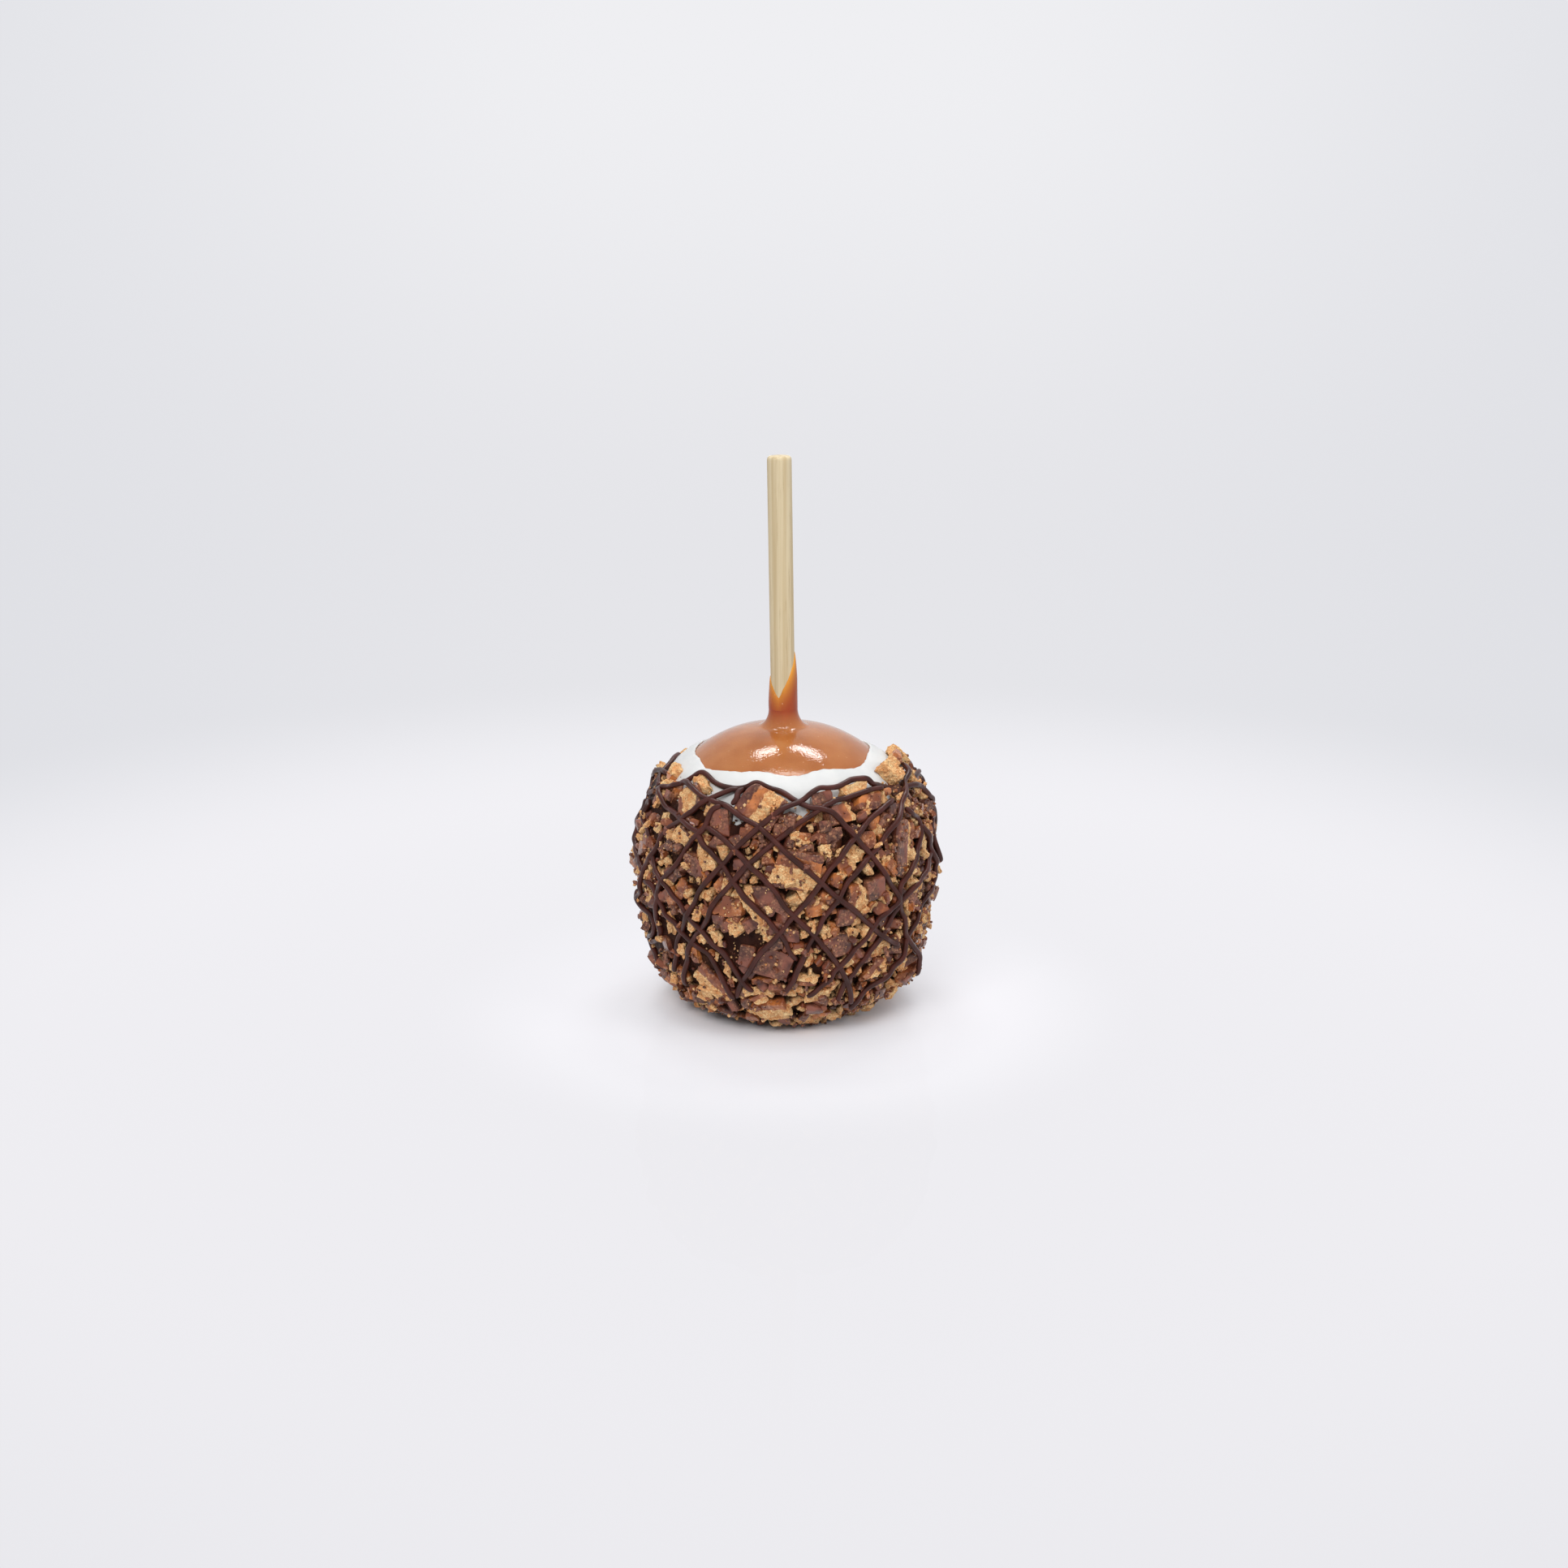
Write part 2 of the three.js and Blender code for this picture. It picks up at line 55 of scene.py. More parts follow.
print("frame loaded:", ", ".join(sorted(frame["nodes"])))

# the form that all the layers follow, and how thick the layers are
apple = {"radius": 34.8, "centre": 40, "crown": 35.8, "base": 35.6, "crownPower": 2.4, "basePower": 3.4}
layers = {"gap": 0.3, "coat": 1.3, "bed": 1.4}
coatOut = layers["gap"] + layers["coat"]  # outer face of the white coat, from the caramel
crustOut = coatOut + layers["gap"]  # inner face of the crust, from the caramel


def drawsFrom(seed):
    # the same repeatable stream of numbers from 0 to 1 as the solids use
    word = 0xFFFFFFFF
    state = [seed & word]

    def draw():
        state[0] = (state[0] + 0x6D2B79F5) & word
        mixed = ((state[0] ^ (state[0] >> 15)) * (state[0] | 1)) & word
        mixed = ((mixed + (mixed ^ (mixed >> 7)) * (mixed | 61)) ^ mixed) & word
        return (mixed ^ (mixed >> 14)) / 2**32

    return draw


def eased(pairs, place):
    # a smooth curve through sorted [place, value] pairs, level past its ends
    at = [pair[0] for pair in pairs]
    values = [pair[1] for pair in pairs]
    i = int(np.clip(np.searchsorted(at, place, side="right"), 1, len(at) - 1))
    along = min(max((place - at[i - 1]) / (at[i] - at[i - 1]), 0), 1)
    return values[i - 1] + (values[i] - values[i - 1]) * (1 - math.cos(along * math.pi)) / 2


def easedAround(pairs, azimuth):
    # the same curve closed round the apple
    first = [pairs[0][0] + 360, pairs[0][1]]
    last = [pairs[-1][0] - 360, pairs[-1][1]]
    return eased([last, *pairs, first], (azimuth + 180) % 360 - 180)


def side(elevation, out):
    # radius and height of the apple's side at an elevation from its centre, moved outwards
    rise = math.sin(math.radians(elevation))
    reachOut = max(math.cos(math.radians(elevation)), 0)
    half, power = (
        (apple["base"], apple["basePower"]) if rise < 0 else (apple["crown"], apple["crownPower"])
    )
    across = reachOut / apple["radius"]
    up = abs(rise) / half
    reach = (across**power + up**power) ** (-1 / power)
    normalAcross = across ** (power - 1) / apple["radius"]
    normalUp = math.copysign(up ** (power - 1) / half, rise)
    length = math.hypot(normalAcross, normalUp)
    radius = reach * reachOut + out * normalAcross / length
    return radius, apple["centre"] + reach * rise + out * normalUp / length


def placed(azimuth, radius, height):
    turn = math.radians(azimuth)
    return Vector((radius * math.sin(turn), -radius * math.cos(turn), height))


def onSide(azimuth, elevation, out):
    return placed(azimuth, *side(elevation, out))


def outwardAt(azimuth, elevation):
    return (onSide(azimuth, elevation, 1) - onSide(azimuth, elevation, 0)).normalized()


def newPiece(name, mesh, material, replaced):
    # a finished piece, which stands for one of the solids
    mesh.materials.append(material)
    mesh.shade_smooth()
    piece = bpy.data.objects.new(name, mesh)
    bpy.context.scene.collection.objects.link(piece)
    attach(piece, "root")
    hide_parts(replaced)
    faces = sum(len(polygon.vertices) - 2 for polygon in mesh.polygons)
    print(f"{name}: {faces} triangles")
    return piece


def meshFromBmesh(name, shape):
    # millimetres to metres, faces turned outwards
    bmesh.ops.recalc_face_normals(shape, faces=shape.faces)
    bmesh.ops.scale(shape, vec=(metres, metres, metres), verts=shape.verts)
    mesh = bpy.data.meshes.new(name)
    shape.to_mesh(mesh)
    shape.free()
    return mesh


def turnedProfile(profile, steps):
    # a profile of (radius, height) spun once round the Z axis, with its poles closed
    shape = bmesh.new()
    verts = [shape.verts.new((radius, 0, height)) for radius, height in profile]
    edges = [shape.edges.new(pair) for pair in zip(verts, verts[1:])]
    bmesh.ops.spin(
        shape, geom=verts + edges, cent=(0, 0, 0), axis=(0, 0, 1), angle=math.tau, steps=steps,
        use_merge=True,
    )
    bmesh.ops.remove_doubles(shape, verts=shape.verts, dist=1e-4)
    return shape


def azimuthOf(point):
    return math.degrees(math.atan2(point.x, -point.y))


def joinedMesh(name, copies, places, facesOf):
    # many small shapes in one mesh: arrays of corners, their places in the bar, and each one's faces
    corners = np.concatenate(copies) * metres
    corners[:, 2] = np.maximum(corners[:, 2], 0)  # pressed flat where the apple stands
    starts = np.cumsum([0] + [len(copy) for copy in copies[:-1]])
    faces = np.concatenate([shape + start for shape, start in zip(facesOf, starts)])
    mesh = bpy.data.meshes.new(name)
    mesh.vertices.add(len(corners))
    mesh.vertices.foreach_set("co", corners.ravel())
    sidesEach = faces.shape[1]
    mesh.loops.add(faces.size)
    mesh.loops.foreach_set("vertex_index", faces.ravel())
    mesh.polygons.add(len(faces))
    mesh.polygons.foreach_set("loop_start", np.arange(0, faces.size, sidesEach))
    mesh.polygons.foreach_set("loop_total", np.full(len(faces), sidesEach))
    place = mesh.attributes.new("barPlace", "FLOAT_VECTOR", "POINT")
    place.data.foreach_set("vector", np.concatenate(places).ravel())
    mesh.update(calc_edges=True)
    mesh.validate()
    return mesh


def addNode(tree, kind, inputs=None, **settings):
    # inputs by name or number: a socket is linked, anything else is set
    node = tree.nodes.new(kind)
    for key, value in settings.items():
        setattr(node, key, value)
    for key, value in (inputs or {}).items():
        if isinstance(value, bpy.types.NodeSocket):
            tree.links.new(value, node.inputs[key])
        else:
            node.inputs[key].default_value = value
    return node


def newMaterial(name, principled):
    material = bpy.data.materials.new(name)
    material.use_nodes = True
    shader = material.node_tree.nodes["Principled BSDF"]
    for key, value in principled.items():
        shader.inputs[key].default_value = value
    return material, material.node_tree, shader


def linear(red, green, blue):
    # a colour given in display values from 0 to 255
    channels = [channel / 255 for channel in (red, green, blue)]
    return tuple(c / 12.92 if c <= 0.04045 else ((c + 0.055) / 1.055) ** 2.4 for c in channels) + (1,)


def noiseAt(tree, place, scale, detail=3, roughness=0.5, **more):
    inputs = {"Vector": place, "Scale": scale, "Detail": detail, "Roughness": roughness}
    return addNode(tree, "ShaderNodeTexNoise", inputs | more).outputs["Fac"]


def mathNode(tree, operation, *values, clamp=False):
    node = addNode(tree, "ShaderNodeMath", dict(enumerate(values)), operation=operation, use_clamp=clamp)
    return node.outputs[0]


def stepBetween(tree, value, low, high):
    inputs = {"Value": value, "From Min": low, "From Max": high}
    return addNode(tree, "ShaderNodeMapRange", inputs, interpolation_type="SMOOTHSTEP").outputs["Result"]


def mixColours(tree, factor, first, second):
    # sockets by number, because a Mix node has several of the same name
    node = addNode(tree, "ShaderNodeMix", {0: factor, 6: first, 7: second}, data_type="RGBA")
    return node.outputs[2]


def mixValues(tree, factor, first, second):
    node = addNode(tree, "ShaderNodeMix", {0: factor, 2: first, 3: second})
    return node.outputs[0]


def bumpFrom(tree, height, distance, strength=1.0, under=None):
    inputs = {"Height": height, "Distance": distance, "Strength": strength}
    if under is not None:
        inputs["Normal"] = under
    return addNode(tree, "ShaderNodeBump", inputs).outputs["Normal"]


def objectPlace(tree):
    return addNode(tree, "ShaderNodeTexCoord").outputs["Object"]


granule = {
    "domed": -0.4,  # how far its height falls from its middle to its edge
    "roughnessScale": 2.3,  # times finer than the granules
    "roughness": 0.65,
    "crevice": (0.4, 0.75),
    "pale": (0.76, 0.84),
    "poreScale": 3.2,  # times finer than the granules
    "pore": (0.5, 0.38),
}


def crumbGroup():
    # granules of broken biscuit: their height, a shade of colour for each at random, the painted shade
    # between them, which of them are pale, and their pores
    group = bpy.data.node_groups.new("brokenCrumb", "ShaderNodeTree")
    for name, kind in (("Place", "NodeSocketVector"), ("Size", "NodeSocketFloat")):
        group.interface.new_socket(name, in_out="INPUT", socket_type=kind)
    for name in ("Height", "Shade", "CreviceShade", "Pale", "Pore"):
        group.interface.new_socket(name, in_out="OUTPUT", socket_type="NodeSocketFloat")
    inside = addNode(group, "NodeGroupInput")
    place, size = inside.outputs["Place"], inside.outputs["Size"]
    scale = mathNode(group, "DIVIDE", 1.0, size)
    swirl = addNode(group, "ShaderNodeTexNoise", {"Vector": place, "Scale": scale, "Detail": 2})
    bend = {0: swirl.outputs["Color"], 1: size, 2: place}
    bent = addNode(group, "ShaderNodeVectorMath", bend, operation="MULTIPLY_ADD").outputs[0]
    cells = addNode(group, "ShaderNodeTexVoronoi", {"Vector": bent, "Scale": scale})
    fromMiddle = cells.outputs["Distance"]
    roughScale = mathNode(group, "MULTIPLY", scale, granule["roughnessScale"])
    rough = noiseAt(group, place, roughScale, roughness=granule["roughness"])
    drawn = addNode(group, "ShaderNodeSeparateXYZ", {0: cells.outputs["Color"]})
    pores = noiseAt(group, place, mathNode(group, "MULTIPLY", scale, granule["poreScale"]), detail=2)
    addNode(group, "NodeGroupOutput", {
        "Height": mathNode(group, "MULTIPLY_ADD", fromMiddle, granule["domed"], rough),
        "Shade": drawn.outputs["X"],
        "CreviceShade": stepBetween(group, fromMiddle, *granule["crevice"]),
        "Pale": stepBetween(group, drawn.outputs["Y"], *granule["pale"]),
        "Pore": stepBetween(group, pores, *granule["pore"]),
    })
    return group


brokenCrumb = crumbGroup()


def crumbsIn(tree, place, size):
    node = addNode(tree, "ShaderNodeGroup", node_tree=brokenCrumb)
    tree.links.new(place, node.inputs["Place"])
    node.inputs["Size"].default_value = size
    return node.outputs


# the camera's sizes are in millimetres, the floor's and the lamps' in metres
camera = {"lens": 50, "sensor": 36, "distance": 580, "elevation": 15, "target": (0.13, 0, 60)}
backdrop = {
    "far": linear(229, 229, 233),
    "high": linear(239, 239, 242),
    "zenith": linear(226, 227, 232),
    "edge": linear(222, 223, 228),  # what the colours turn to far to either side
    "farToHigh": (-0.16, 0.07),  # how far up the view, from -1 to 1
    "highToZenith": (0.1, 0.9),
    "middleToEdge": (0.06, 0.42),  # how far to either side of it
    "edgeShare": 0.8,
    "light": 0.46,  # share of the world's seen brightness that lights the apple
    "floor": linear(237, 236, 240),
    "floorSize": 6,
    "floorFade": (0.2, 0.42),
    "floorGlow": ((0.026, 0.04, 0.56), (0.038, 0.1, 0.44)),  # from and to (m), and how much is added
}
lamps = [
    # direction from the apple, distance (m), size (m), power (W), and whether it is mirrored
    {
        "name": "leftBox", "towards": (-0.143, 0.4, 0.905), "distance": 1.1, "size": (0.28, 0.13),
        "power": 2.2, "mirrored": True,
    },
    {
        "name": "rightBox", "towards": (0.212, 0.43, 0.877), "distance": 1.1, "size": (0.32, 0.13),
        "power": 2.6, "mirrored": True,
    },
    {
        "name": "overhead", "towards": (0, -0.06, 1), "distance": 1.1, "size": (0.6, 0.12),
        "power": 2.2, "mirrored": True,
    },
    {
        "name": "frontFill", "towards": (-0.3, -0.78, 0.66), "distance": 1.4, "size": (0.7, 0.5),
        "power": 12, "mirrored": False,
    },
    {
        "name": "sideFill", "towards": (0.85, -0.45, 0.5), "distance": 1.5, "size": (0.6, 0.6),
        "power": 7, "mirrored": False,
    },
]
lampsAimAt = Vector((0, 0, 0.055))


def aimedAt(item, place, target):
    item.location = place
    item.rotation_euler = (target - place).to_track_quat("-Z", "Y").to_euler()
    bpy.context.scene.collection.objects.link(item)


def makeCamera():
    data = bpy.data.cameras.new("camera")
    data.lens = camera["lens"]
    data.sensor_width = camera["sensor"]
    item = bpy.data.objects.new("camera", data)
    target = Vector(camera["target"]) * metres
    tilt = math.radians(camera["elevation"])
    away = Vector((0, -math.cos(tilt), math.sin(tilt))) * camera["distance"] * metres
    aimedAt(item, target + away, target)
    bpy.context.scene.camera = item


def makeLamps():
    for lamp in lamps:
        data = bpy.data.lights.new(lamp["name"], "AREA")
        data.shape = "RECTANGLE"
        data.size, data.size_y = lamp["size"]
        data.energy = lamp["power"]
        item = bpy.data.objects.new(lamp["name"], data)
        away = Vector(lamp["towards"]).normalized() * lamp["distance"]
        aimedAt(item, lampsAimAt + away, lampsAimAt)
        item.visible_camera = False
        item.visible_glossy = lamp["mirrored"]


def makeBackdrop():
    # the world as it is seen and mirrored, and a weaker one for the light it sheds
    world = bpy.data.worlds.new("backdrop")
    world.use_nodes = True
    bpy.context.scene.world = world
    tree = world.node_tree
    ray = addNode(tree, "ShaderNodeLightPath")
    direction = addNode(tree, "ShaderNodeTexCoord").outputs["Generated"]
    towards = addNode(tree, "ShaderNodeSeparateXYZ", {0: direction})
    rise = stepBetween(tree, towards.outputs["Z"], *backdrop["farToHigh"])
    colour = mixColours(tree, rise, backdrop["far"], backdrop["high"])
    rise = stepBetween(tree, towards.outputs["Z"], *backdrop["highToZenith"])
    colour = mixColours(tree, rise, colour, backdrop["zenith"])
    aside = mathNode(tree, "ABSOLUTE", towards.outputs["X"])
    aside = stepBetween(tree, aside, *backdrop["middleToEdge"])
    aside = mathNode(tree, "MULTIPLY", aside, backdrop["edgeShare"])
    colour = mixColours(tree, aside, colour, backdrop["edge"])
    isSeen = mathNode(tree, "MAXIMUM", ray.outputs["Is Camera Ray"], ray.outputs["Is Glossy Ray"])
    shown = tree.nodes["Background"]
    tree.links.new(colour, shown.inputs["Color"])
    tree.links.new(mixValues(tree, isSeen, backdrop["light"], 1.0), shown.inputs["Strength"])


def makeFloor():
    shape = bmesh.new()
    bmesh.ops.create_grid(shape, x_segments=1, y_segments=1, size=backdrop["floorSize"] / 2)
    mesh = bpy.data.meshes.new("floor")
    shape.to_mesh(mesh)
    shape.free()
    principled = {"Roughness": 0.03, "Specular IOR Level": 0.01, "Emission Strength": 1.0}
    material, tree, shader = newMaterial("paleFloor", principled)
    away = addNode(tree, "ShaderNodeVectorMath", {0: objectPlace(tree)}, operation="LENGTH").outputs["Value"]
    # past the apple's own shadow the floor glows evenly, as under a wide soft light
    glow = 0.0
    for near, far, share in backdrop["floorGlow"]:
        glow = mathNode(tree, "MULTIPLY_ADD", stepBetween(tree, away, near, far), share, glow)
    black = (0, 0, 0, 1)
    tree.links.new(mixColours(tree, glow, backdrop["floor"], black), shader.inputs["Base Color"])
    tree.links.new(mixColours(tree, glow, black, backdrop["floor"]), shader.inputs["Emission Color"])
    fade = stepBetween(tree, away, *backdrop["floorFade"])
    tree.links.new(mathNode(tree, "SUBTRACT", 1.0, fade), shader.inputs["Alpha"])
    mesh.materials.append(material)
    floor = bpy.data.objects.new("floor", mesh)
    bpy.context.scene.collection.objects.link(floor)


makeCamera()
makeLamps()
makeBackdrop()
makeFloor()
bpy.context.scene.view_settings.view_transform = "Standard"
print("camera, lamps and floor placed")


stick = {
    "diameter": 6.35,
    "length": 114.3,
    "top": 147,
    "lean": 0.87,
    "leansFrom": 74.6,  # the height at which its middle is over the apple's
    "roundWidth": 0.85,
    "roundHeight": 1,
    "roundTurns": (0, 22, 45, 68, 90),
    "steps": 64,
    "rings": 40,
    "waver": 0.06,  # not quite a true cylinder
    "waverScale": 0.03,
    "pale": linear(216, 200, 166),
    "dark": linear(190, 168, 128),
    "vein": linear(170, 145, 104),
    "grainStretch": (1000, 1000, 28),
    "grainScale": 2.4,
    "bandStretch": (620, 620, 9),
    "bandScale": 1.2,
}
collar = {
    "heap": [[54, 0], [72, 0.5]],  # how much thicker the caramel lies over the crown, by elevation
    "meets": 78.2,  # the elevation on the dome from which the fillet rises
    "top": 80.7,  # where the fillet ends
    "radius": 3.85,
    "feather": 7,  # how far below its lip it starts to thin
    "featherPower": 0.55,
    "film": 0.02,  # its thickness at the lip
    "clearOver": 12,  # how far up it goes from deep to clear
    "steps": 160,
    "rings": (18, 30),  # of the fillet and of the climb
    "lip": [[-180, 86], [-90, 89.6], [-20, 84], [88, 96], [180, 86]],  # straight between, to pointed wicks
    "lipWander": 0.3,
}


def domePoint(elevation):
    radius, height = side(elevation, 0)
    return radius, height + eased(collar["heap"], elevation)


filletRadius, filletFoot = domePoint(collar["meets"])


def stickAxisX(height):
    return (stick["leansFrom"] - height) * math.tan(math.radians(stick["lean"]))


def woodMaterial():
    material, tree, shader = newMaterial("birchWood", {"Roughness": 0.55, "Specular IOR Level": 0.3})
    place = objectPlace(tree)

    def stretched(scale):
        return addNode(tree, "ShaderNodeMapping", {"Vector": place, "Scale": scale}).outputs[0]

    grain = noiseAt(tree, stretched(stick["grainStretch"]), stick["grainScale"], detail=5, roughness=0.65)
    bands = noiseAt(tree, stretched(stick["bandStretch"]), stick["bandScale"])
    colour = mixColours(tree, stepBetween(tree, bands, 0.35, 0.8), stick["pale"], stick["dark"])
    colour = mixColours(tree, stepBetween(tree, grain, 0.54, 0.75), colour, stick["vein"])
    tree.links.new(colour, shader.inputs["Base Color"])
    tree.links.new(bumpFrom(tree, grain, 0.00012, 0.5), shader.inputs["Normal"])
    return material


def makeStick():
    radius = stick["diameter"] / 2
    rounds = [math.radians(turn) for turn in stick["roundTurns"]]
    foot = [
        (radius - stick["roundWidth"] * (1 - math.sin(turn)), stick["roundHeight"] * (1 - math.cos(turn)))
        for turn in rounds
    ]
    head = [(across, stick["length"] - along) for across, along in reversed(foot)]
    rings = np.linspace(stick["roundHeight"], stick["length"], stick["rings"])
    barrel = [(radius, along) for along in rings[1:-1]]
    shape = turnedProfile([(0, 0), *foot, *barrel, *head, (0, stick["length"])], stick["steps"])
    for vert in shape.verts:
        vert.co.x += noise.noise(Vector((0, 0, vert.co.z * stick["waverScale"]))) * stick["waver"]
    lean = math.radians(stick["lean"])
    footHeight = stick["top"] - stick["length"] * math.cos(lean)
    bmesh.ops.rotate(shape, cent=(0, 0, 0), matrix=Matrix.Rotation(-lean, 3, "Y"), verts=shape.verts)
    bmesh.ops.translate(shape, vec=(stickAxisX(footHeight), 0, footHeight), verts=shape.verts)
    mesh = meshFromBmesh("stickWood", shape)
    return newPiece("stickWood", mesh, woodMaterial(), "stick")


makeStick()


caramel = {
    "thick": linear(156, 90, 42),
    "deep": linear(160, 64, 14),
    "thin": linear(236, 160, 50),
    "milky": linear(174, 110, 60),
    "speckle": linear(228, 184, 142),
    "cloudScale": 90,
    "speckScale": 1500,
    "pebbleScale": 2300,
    "waveScale": 160,
}


def caramelMaterial():
    principled = {"Roughness": 0.07, "IOR": 1.45, "Subsurface Weight": 0.15, "Subsurface Scale": 0.003}
    material, tree, shader = newMaterial("softCaramel", principled)
    shader.inputs["Subsurface Radius"].default_value = (1.0, 0.4, 0.16)
    place = objectPlace(tree)
    thinness = addNode(tree, "ShaderNodeAttribute", attribute_name="lipThinness").outputs["Fac"]
    collarShare = addNode(tree, "ShaderNodeAttribute", attribute_name="collarShare").outputs["Fac"]
    cloudy = stepBetween(tree, noiseAt(tree, place, caramel["cloudScale"]), 0.3, 0.75)
    body = mixColours(tree, cloudy, caramel["milky"], caramel["thick"])
    colour = mixColours(tree, collarShare, body, caramel["deep"])
    colour = mixColours(tree, thinness, colour, caramel["thin"])
    specks = stepBetween(tree, noiseAt(tree, place, caramel["speckScale"], detail=1), 0.76, 0.82)
    colour = mixColours(tree, mathNode(tree, "MULTIPLY", specks, 0.6), colour, caramel["speckle"])
    tree.links.new(colour, shader.inputs["Base Color"])
    # a fine pebbled skin that breaks up the highlights, over slow waves
    pebbles = noiseAt(tree, place, caramel["pebbleScale"], detail=0)
    waves = bumpFrom(tree, noiseAt(tree, place, caramel["waveScale"], detail=2), 0.0003, 0.12)
    tree.links.new(bumpFrom(tree, pebbles, 0.0001, 0.3, waves), shader.inputs["Normal"])
    return material


def filletPoint(turn):
    return (
        collar["radius"] + (filletRadius - collar["radius"]) * (1 - math.sin(turn)),
        filletFoot + (collar["top"] - filletFoot) * (1 - math.cos(turn)),
    )


def makeCaramel():
    # the body and the dome, then the fillet, and a collar that climbs and clings to the stick
    lipBase = 100  # profile heights above this are a share of the way up the collar
    domeFrom = 30  # the elevation from which the rings lie closer
    elevations = (*range(-90, domeFrom, 6), *np.arange(domeFrom, collar["meets"], 1.5))
    body = [domePoint(elevation) for elevation in elevations]
    filletRings, climbRings = collar["rings"]
    fillet = [filletPoint(turn) for turn in np.linspace(0, math.pi / 2, filletRings)]
    climb = [(collar["radius"], lipBase + share) for share in np.linspace(0.02, 1, climbRings)]
    inside = collar["radius"] - 1
    inner = [(inside, lipBase + 1), (inside, lipBase + 0.5), (0, lipBase + 0.5)]
    shape = turnedProfile([(0, body[0][1]), *body[1:], *fillet, *climb, *inner], collar["steps"])
    thinness = shape.verts.layers.float.new("lipThinness")
    collarShare = shape.verts.layers.float.new("collarShare")
    stickRadius = stick["diameter"] / 2
    for vert in shape.verts:
        azimuth = azimuthOf(vert.co)
        radius = math.hypot(vert.co.x, vert.co.y)
        height = vert.co.z
        wander = collar["lipWander"] * noise.noise(Vector((azimuth * 0.09, 1.7, 0)))
        lip = np.interp(azimuth, *zip(*collar["lip"])) + wander
        rising = min(max((height - filletFoot) / (collar["top"] - filletFoot), 0), 1)
        if height < lipBase:
            vert[collarShare] = rising**1.4
            if rising > 0:
                clinging = min((lip - height) / collar["feather"], 1) ** collar["featherPower"]
                vert.co = placed(azimuth, stickRadius + (radius - stickRadius) * clinging, height)
                vert.co.x += stickAxisX(height) * rising
            continue
        share = height - lipBase
        height = collar["top"] + share * (lip - collar["top"])
        below = max(lip - height, 0)
        climbed = min(max((height - collar["top"]) / collar["clearOver"], 0), 1)
        clinging = min(below / collar["feather"], 1) ** collar["featherPower"]
        thickness = (collar["radius"] - stickRadius) * clinging + collar["film"]
        reach = stickRadius + thickness if radius > stickRadius else radius * stickRadius / collar["radius"]
        vert.co = placed(azimuth, reach, height)
        vert.co.x += stickAxisX(height)
        vert[thinness] = min(max(1 - below / collar["feather"], 0), 1) ** 1.5 * (0.35 + 0.65 * climbed)
        vert[collarShare] = 1 - 0.45 * climbed
    mesh = meshFromBmesh("caramelDome", shape)
    return newPiece("caramelDome", mesh, caramelMaterial(), "caramel")


makeCaramel()


coat = {
    "steps": 220,
    "rings": 110,
    "inner": -0.25,  # just inside the caramel's face, which leaves no gap
    "rounding": 1.1,
    "colour": linear(211, 211, 209),
    "shade": linear(202, 203, 202),
    "shadeScale": 120,
    "smearScale": 260,
    "pitScale": 2400,
    "ragged": (0.35, 0.2),  # how far the rim's long and short waves reach
    "lumps": (0.22, 0.08),
    "lumpScale": 0.16,
    "feather": 9,  # degrees over which it thins towards its rim
    "rim": [
        [-140, 50], [-105, 52], [-70, 51.2], [-52, 48.5], [-30, 50], [-15, 51.3],
        [6, 49.4], [25, 51.6], [50, 49.4], [80, 52.8], [130, 50.5], [175, 52],
    ],
}


bowlReach = 140  # degrees down from a bowl's rim that its rings reach, past the middle of its foot


def bowlRings(inner, outer, count, rounding):
    # (degrees above the rim, out) from the foot up the outer face, over the rounded rim and down inside
    face = np.linspace(-bowlReach, 0, count)
    middle = (inner + outer) / 2
    half = (outer - inner) / 2
    bend = [
        (rounding * math.cos(turn) - rounding, middle + half * math.sin(turn))
        for turn in np.radians(np.linspace(80, -80, 9))
    ]
    rise = [(elevation - rounding, outer) for elevation in face]
    fall = [(elevation - rounding, inner) for elevation in reversed(face)]
    return [*rise, *bend, *fall]


def bowlShape(rings, steps, rimAt, roughen):
    # a bowl round the apple whose rings follow a rim that rises and falls, spun first as a wide
    # ring in which the radius stands for the degrees and the height for how far out
    ringBase, outBase = 200, 300
    shape = turnedProfile([(ring + ringBase, outBase + out) for ring, out in rings], steps)
    for vert in shape.verts:
        azimuth = azimuthOf(vert.co)
        ring = math.hypot(vert.co.x, vert.co.y) - ringBase
        out = vert.co.z - outBase
        elevation = max(rimAt(azimuth) + ring, -90)
        vert.co = onSide(azimuth, elevation, out + roughen(azimuth, elevation, out))
    return shape


def coatMaterial():
    principled = {
        "Roughness": 0.5, "Specular IOR Level": 0.35, "Subsurface Weight": 0.15, "Subsurface Scale": 0.003,
    }
    material, tree, shader = newMaterial("whiteCandy", principled)
    shader.inputs["Subsurface Radius"].default_value = (1.0, 0.95, 0.85)
    place = objectPlace(tree)
    shaded = stepBetween(tree, noiseAt(tree, place, coat["shadeScale"]), 0.35, 0.75)
    tree.links.new(mixColours(tree, shaded, coat["colour"], coat["shade"]), shader.inputs["Base Color"])
    smears = bumpFrom(tree, noiseAt(tree, place, coat["smearScale"]), 0.0005, 0.35)
    pits = bumpFrom(tree, noiseAt(tree, place, coat["pitScale"], detail=2), 0.00006, 0.5, smears)
    tree.links.new(pits, shader.inputs["Normal"])
    return material


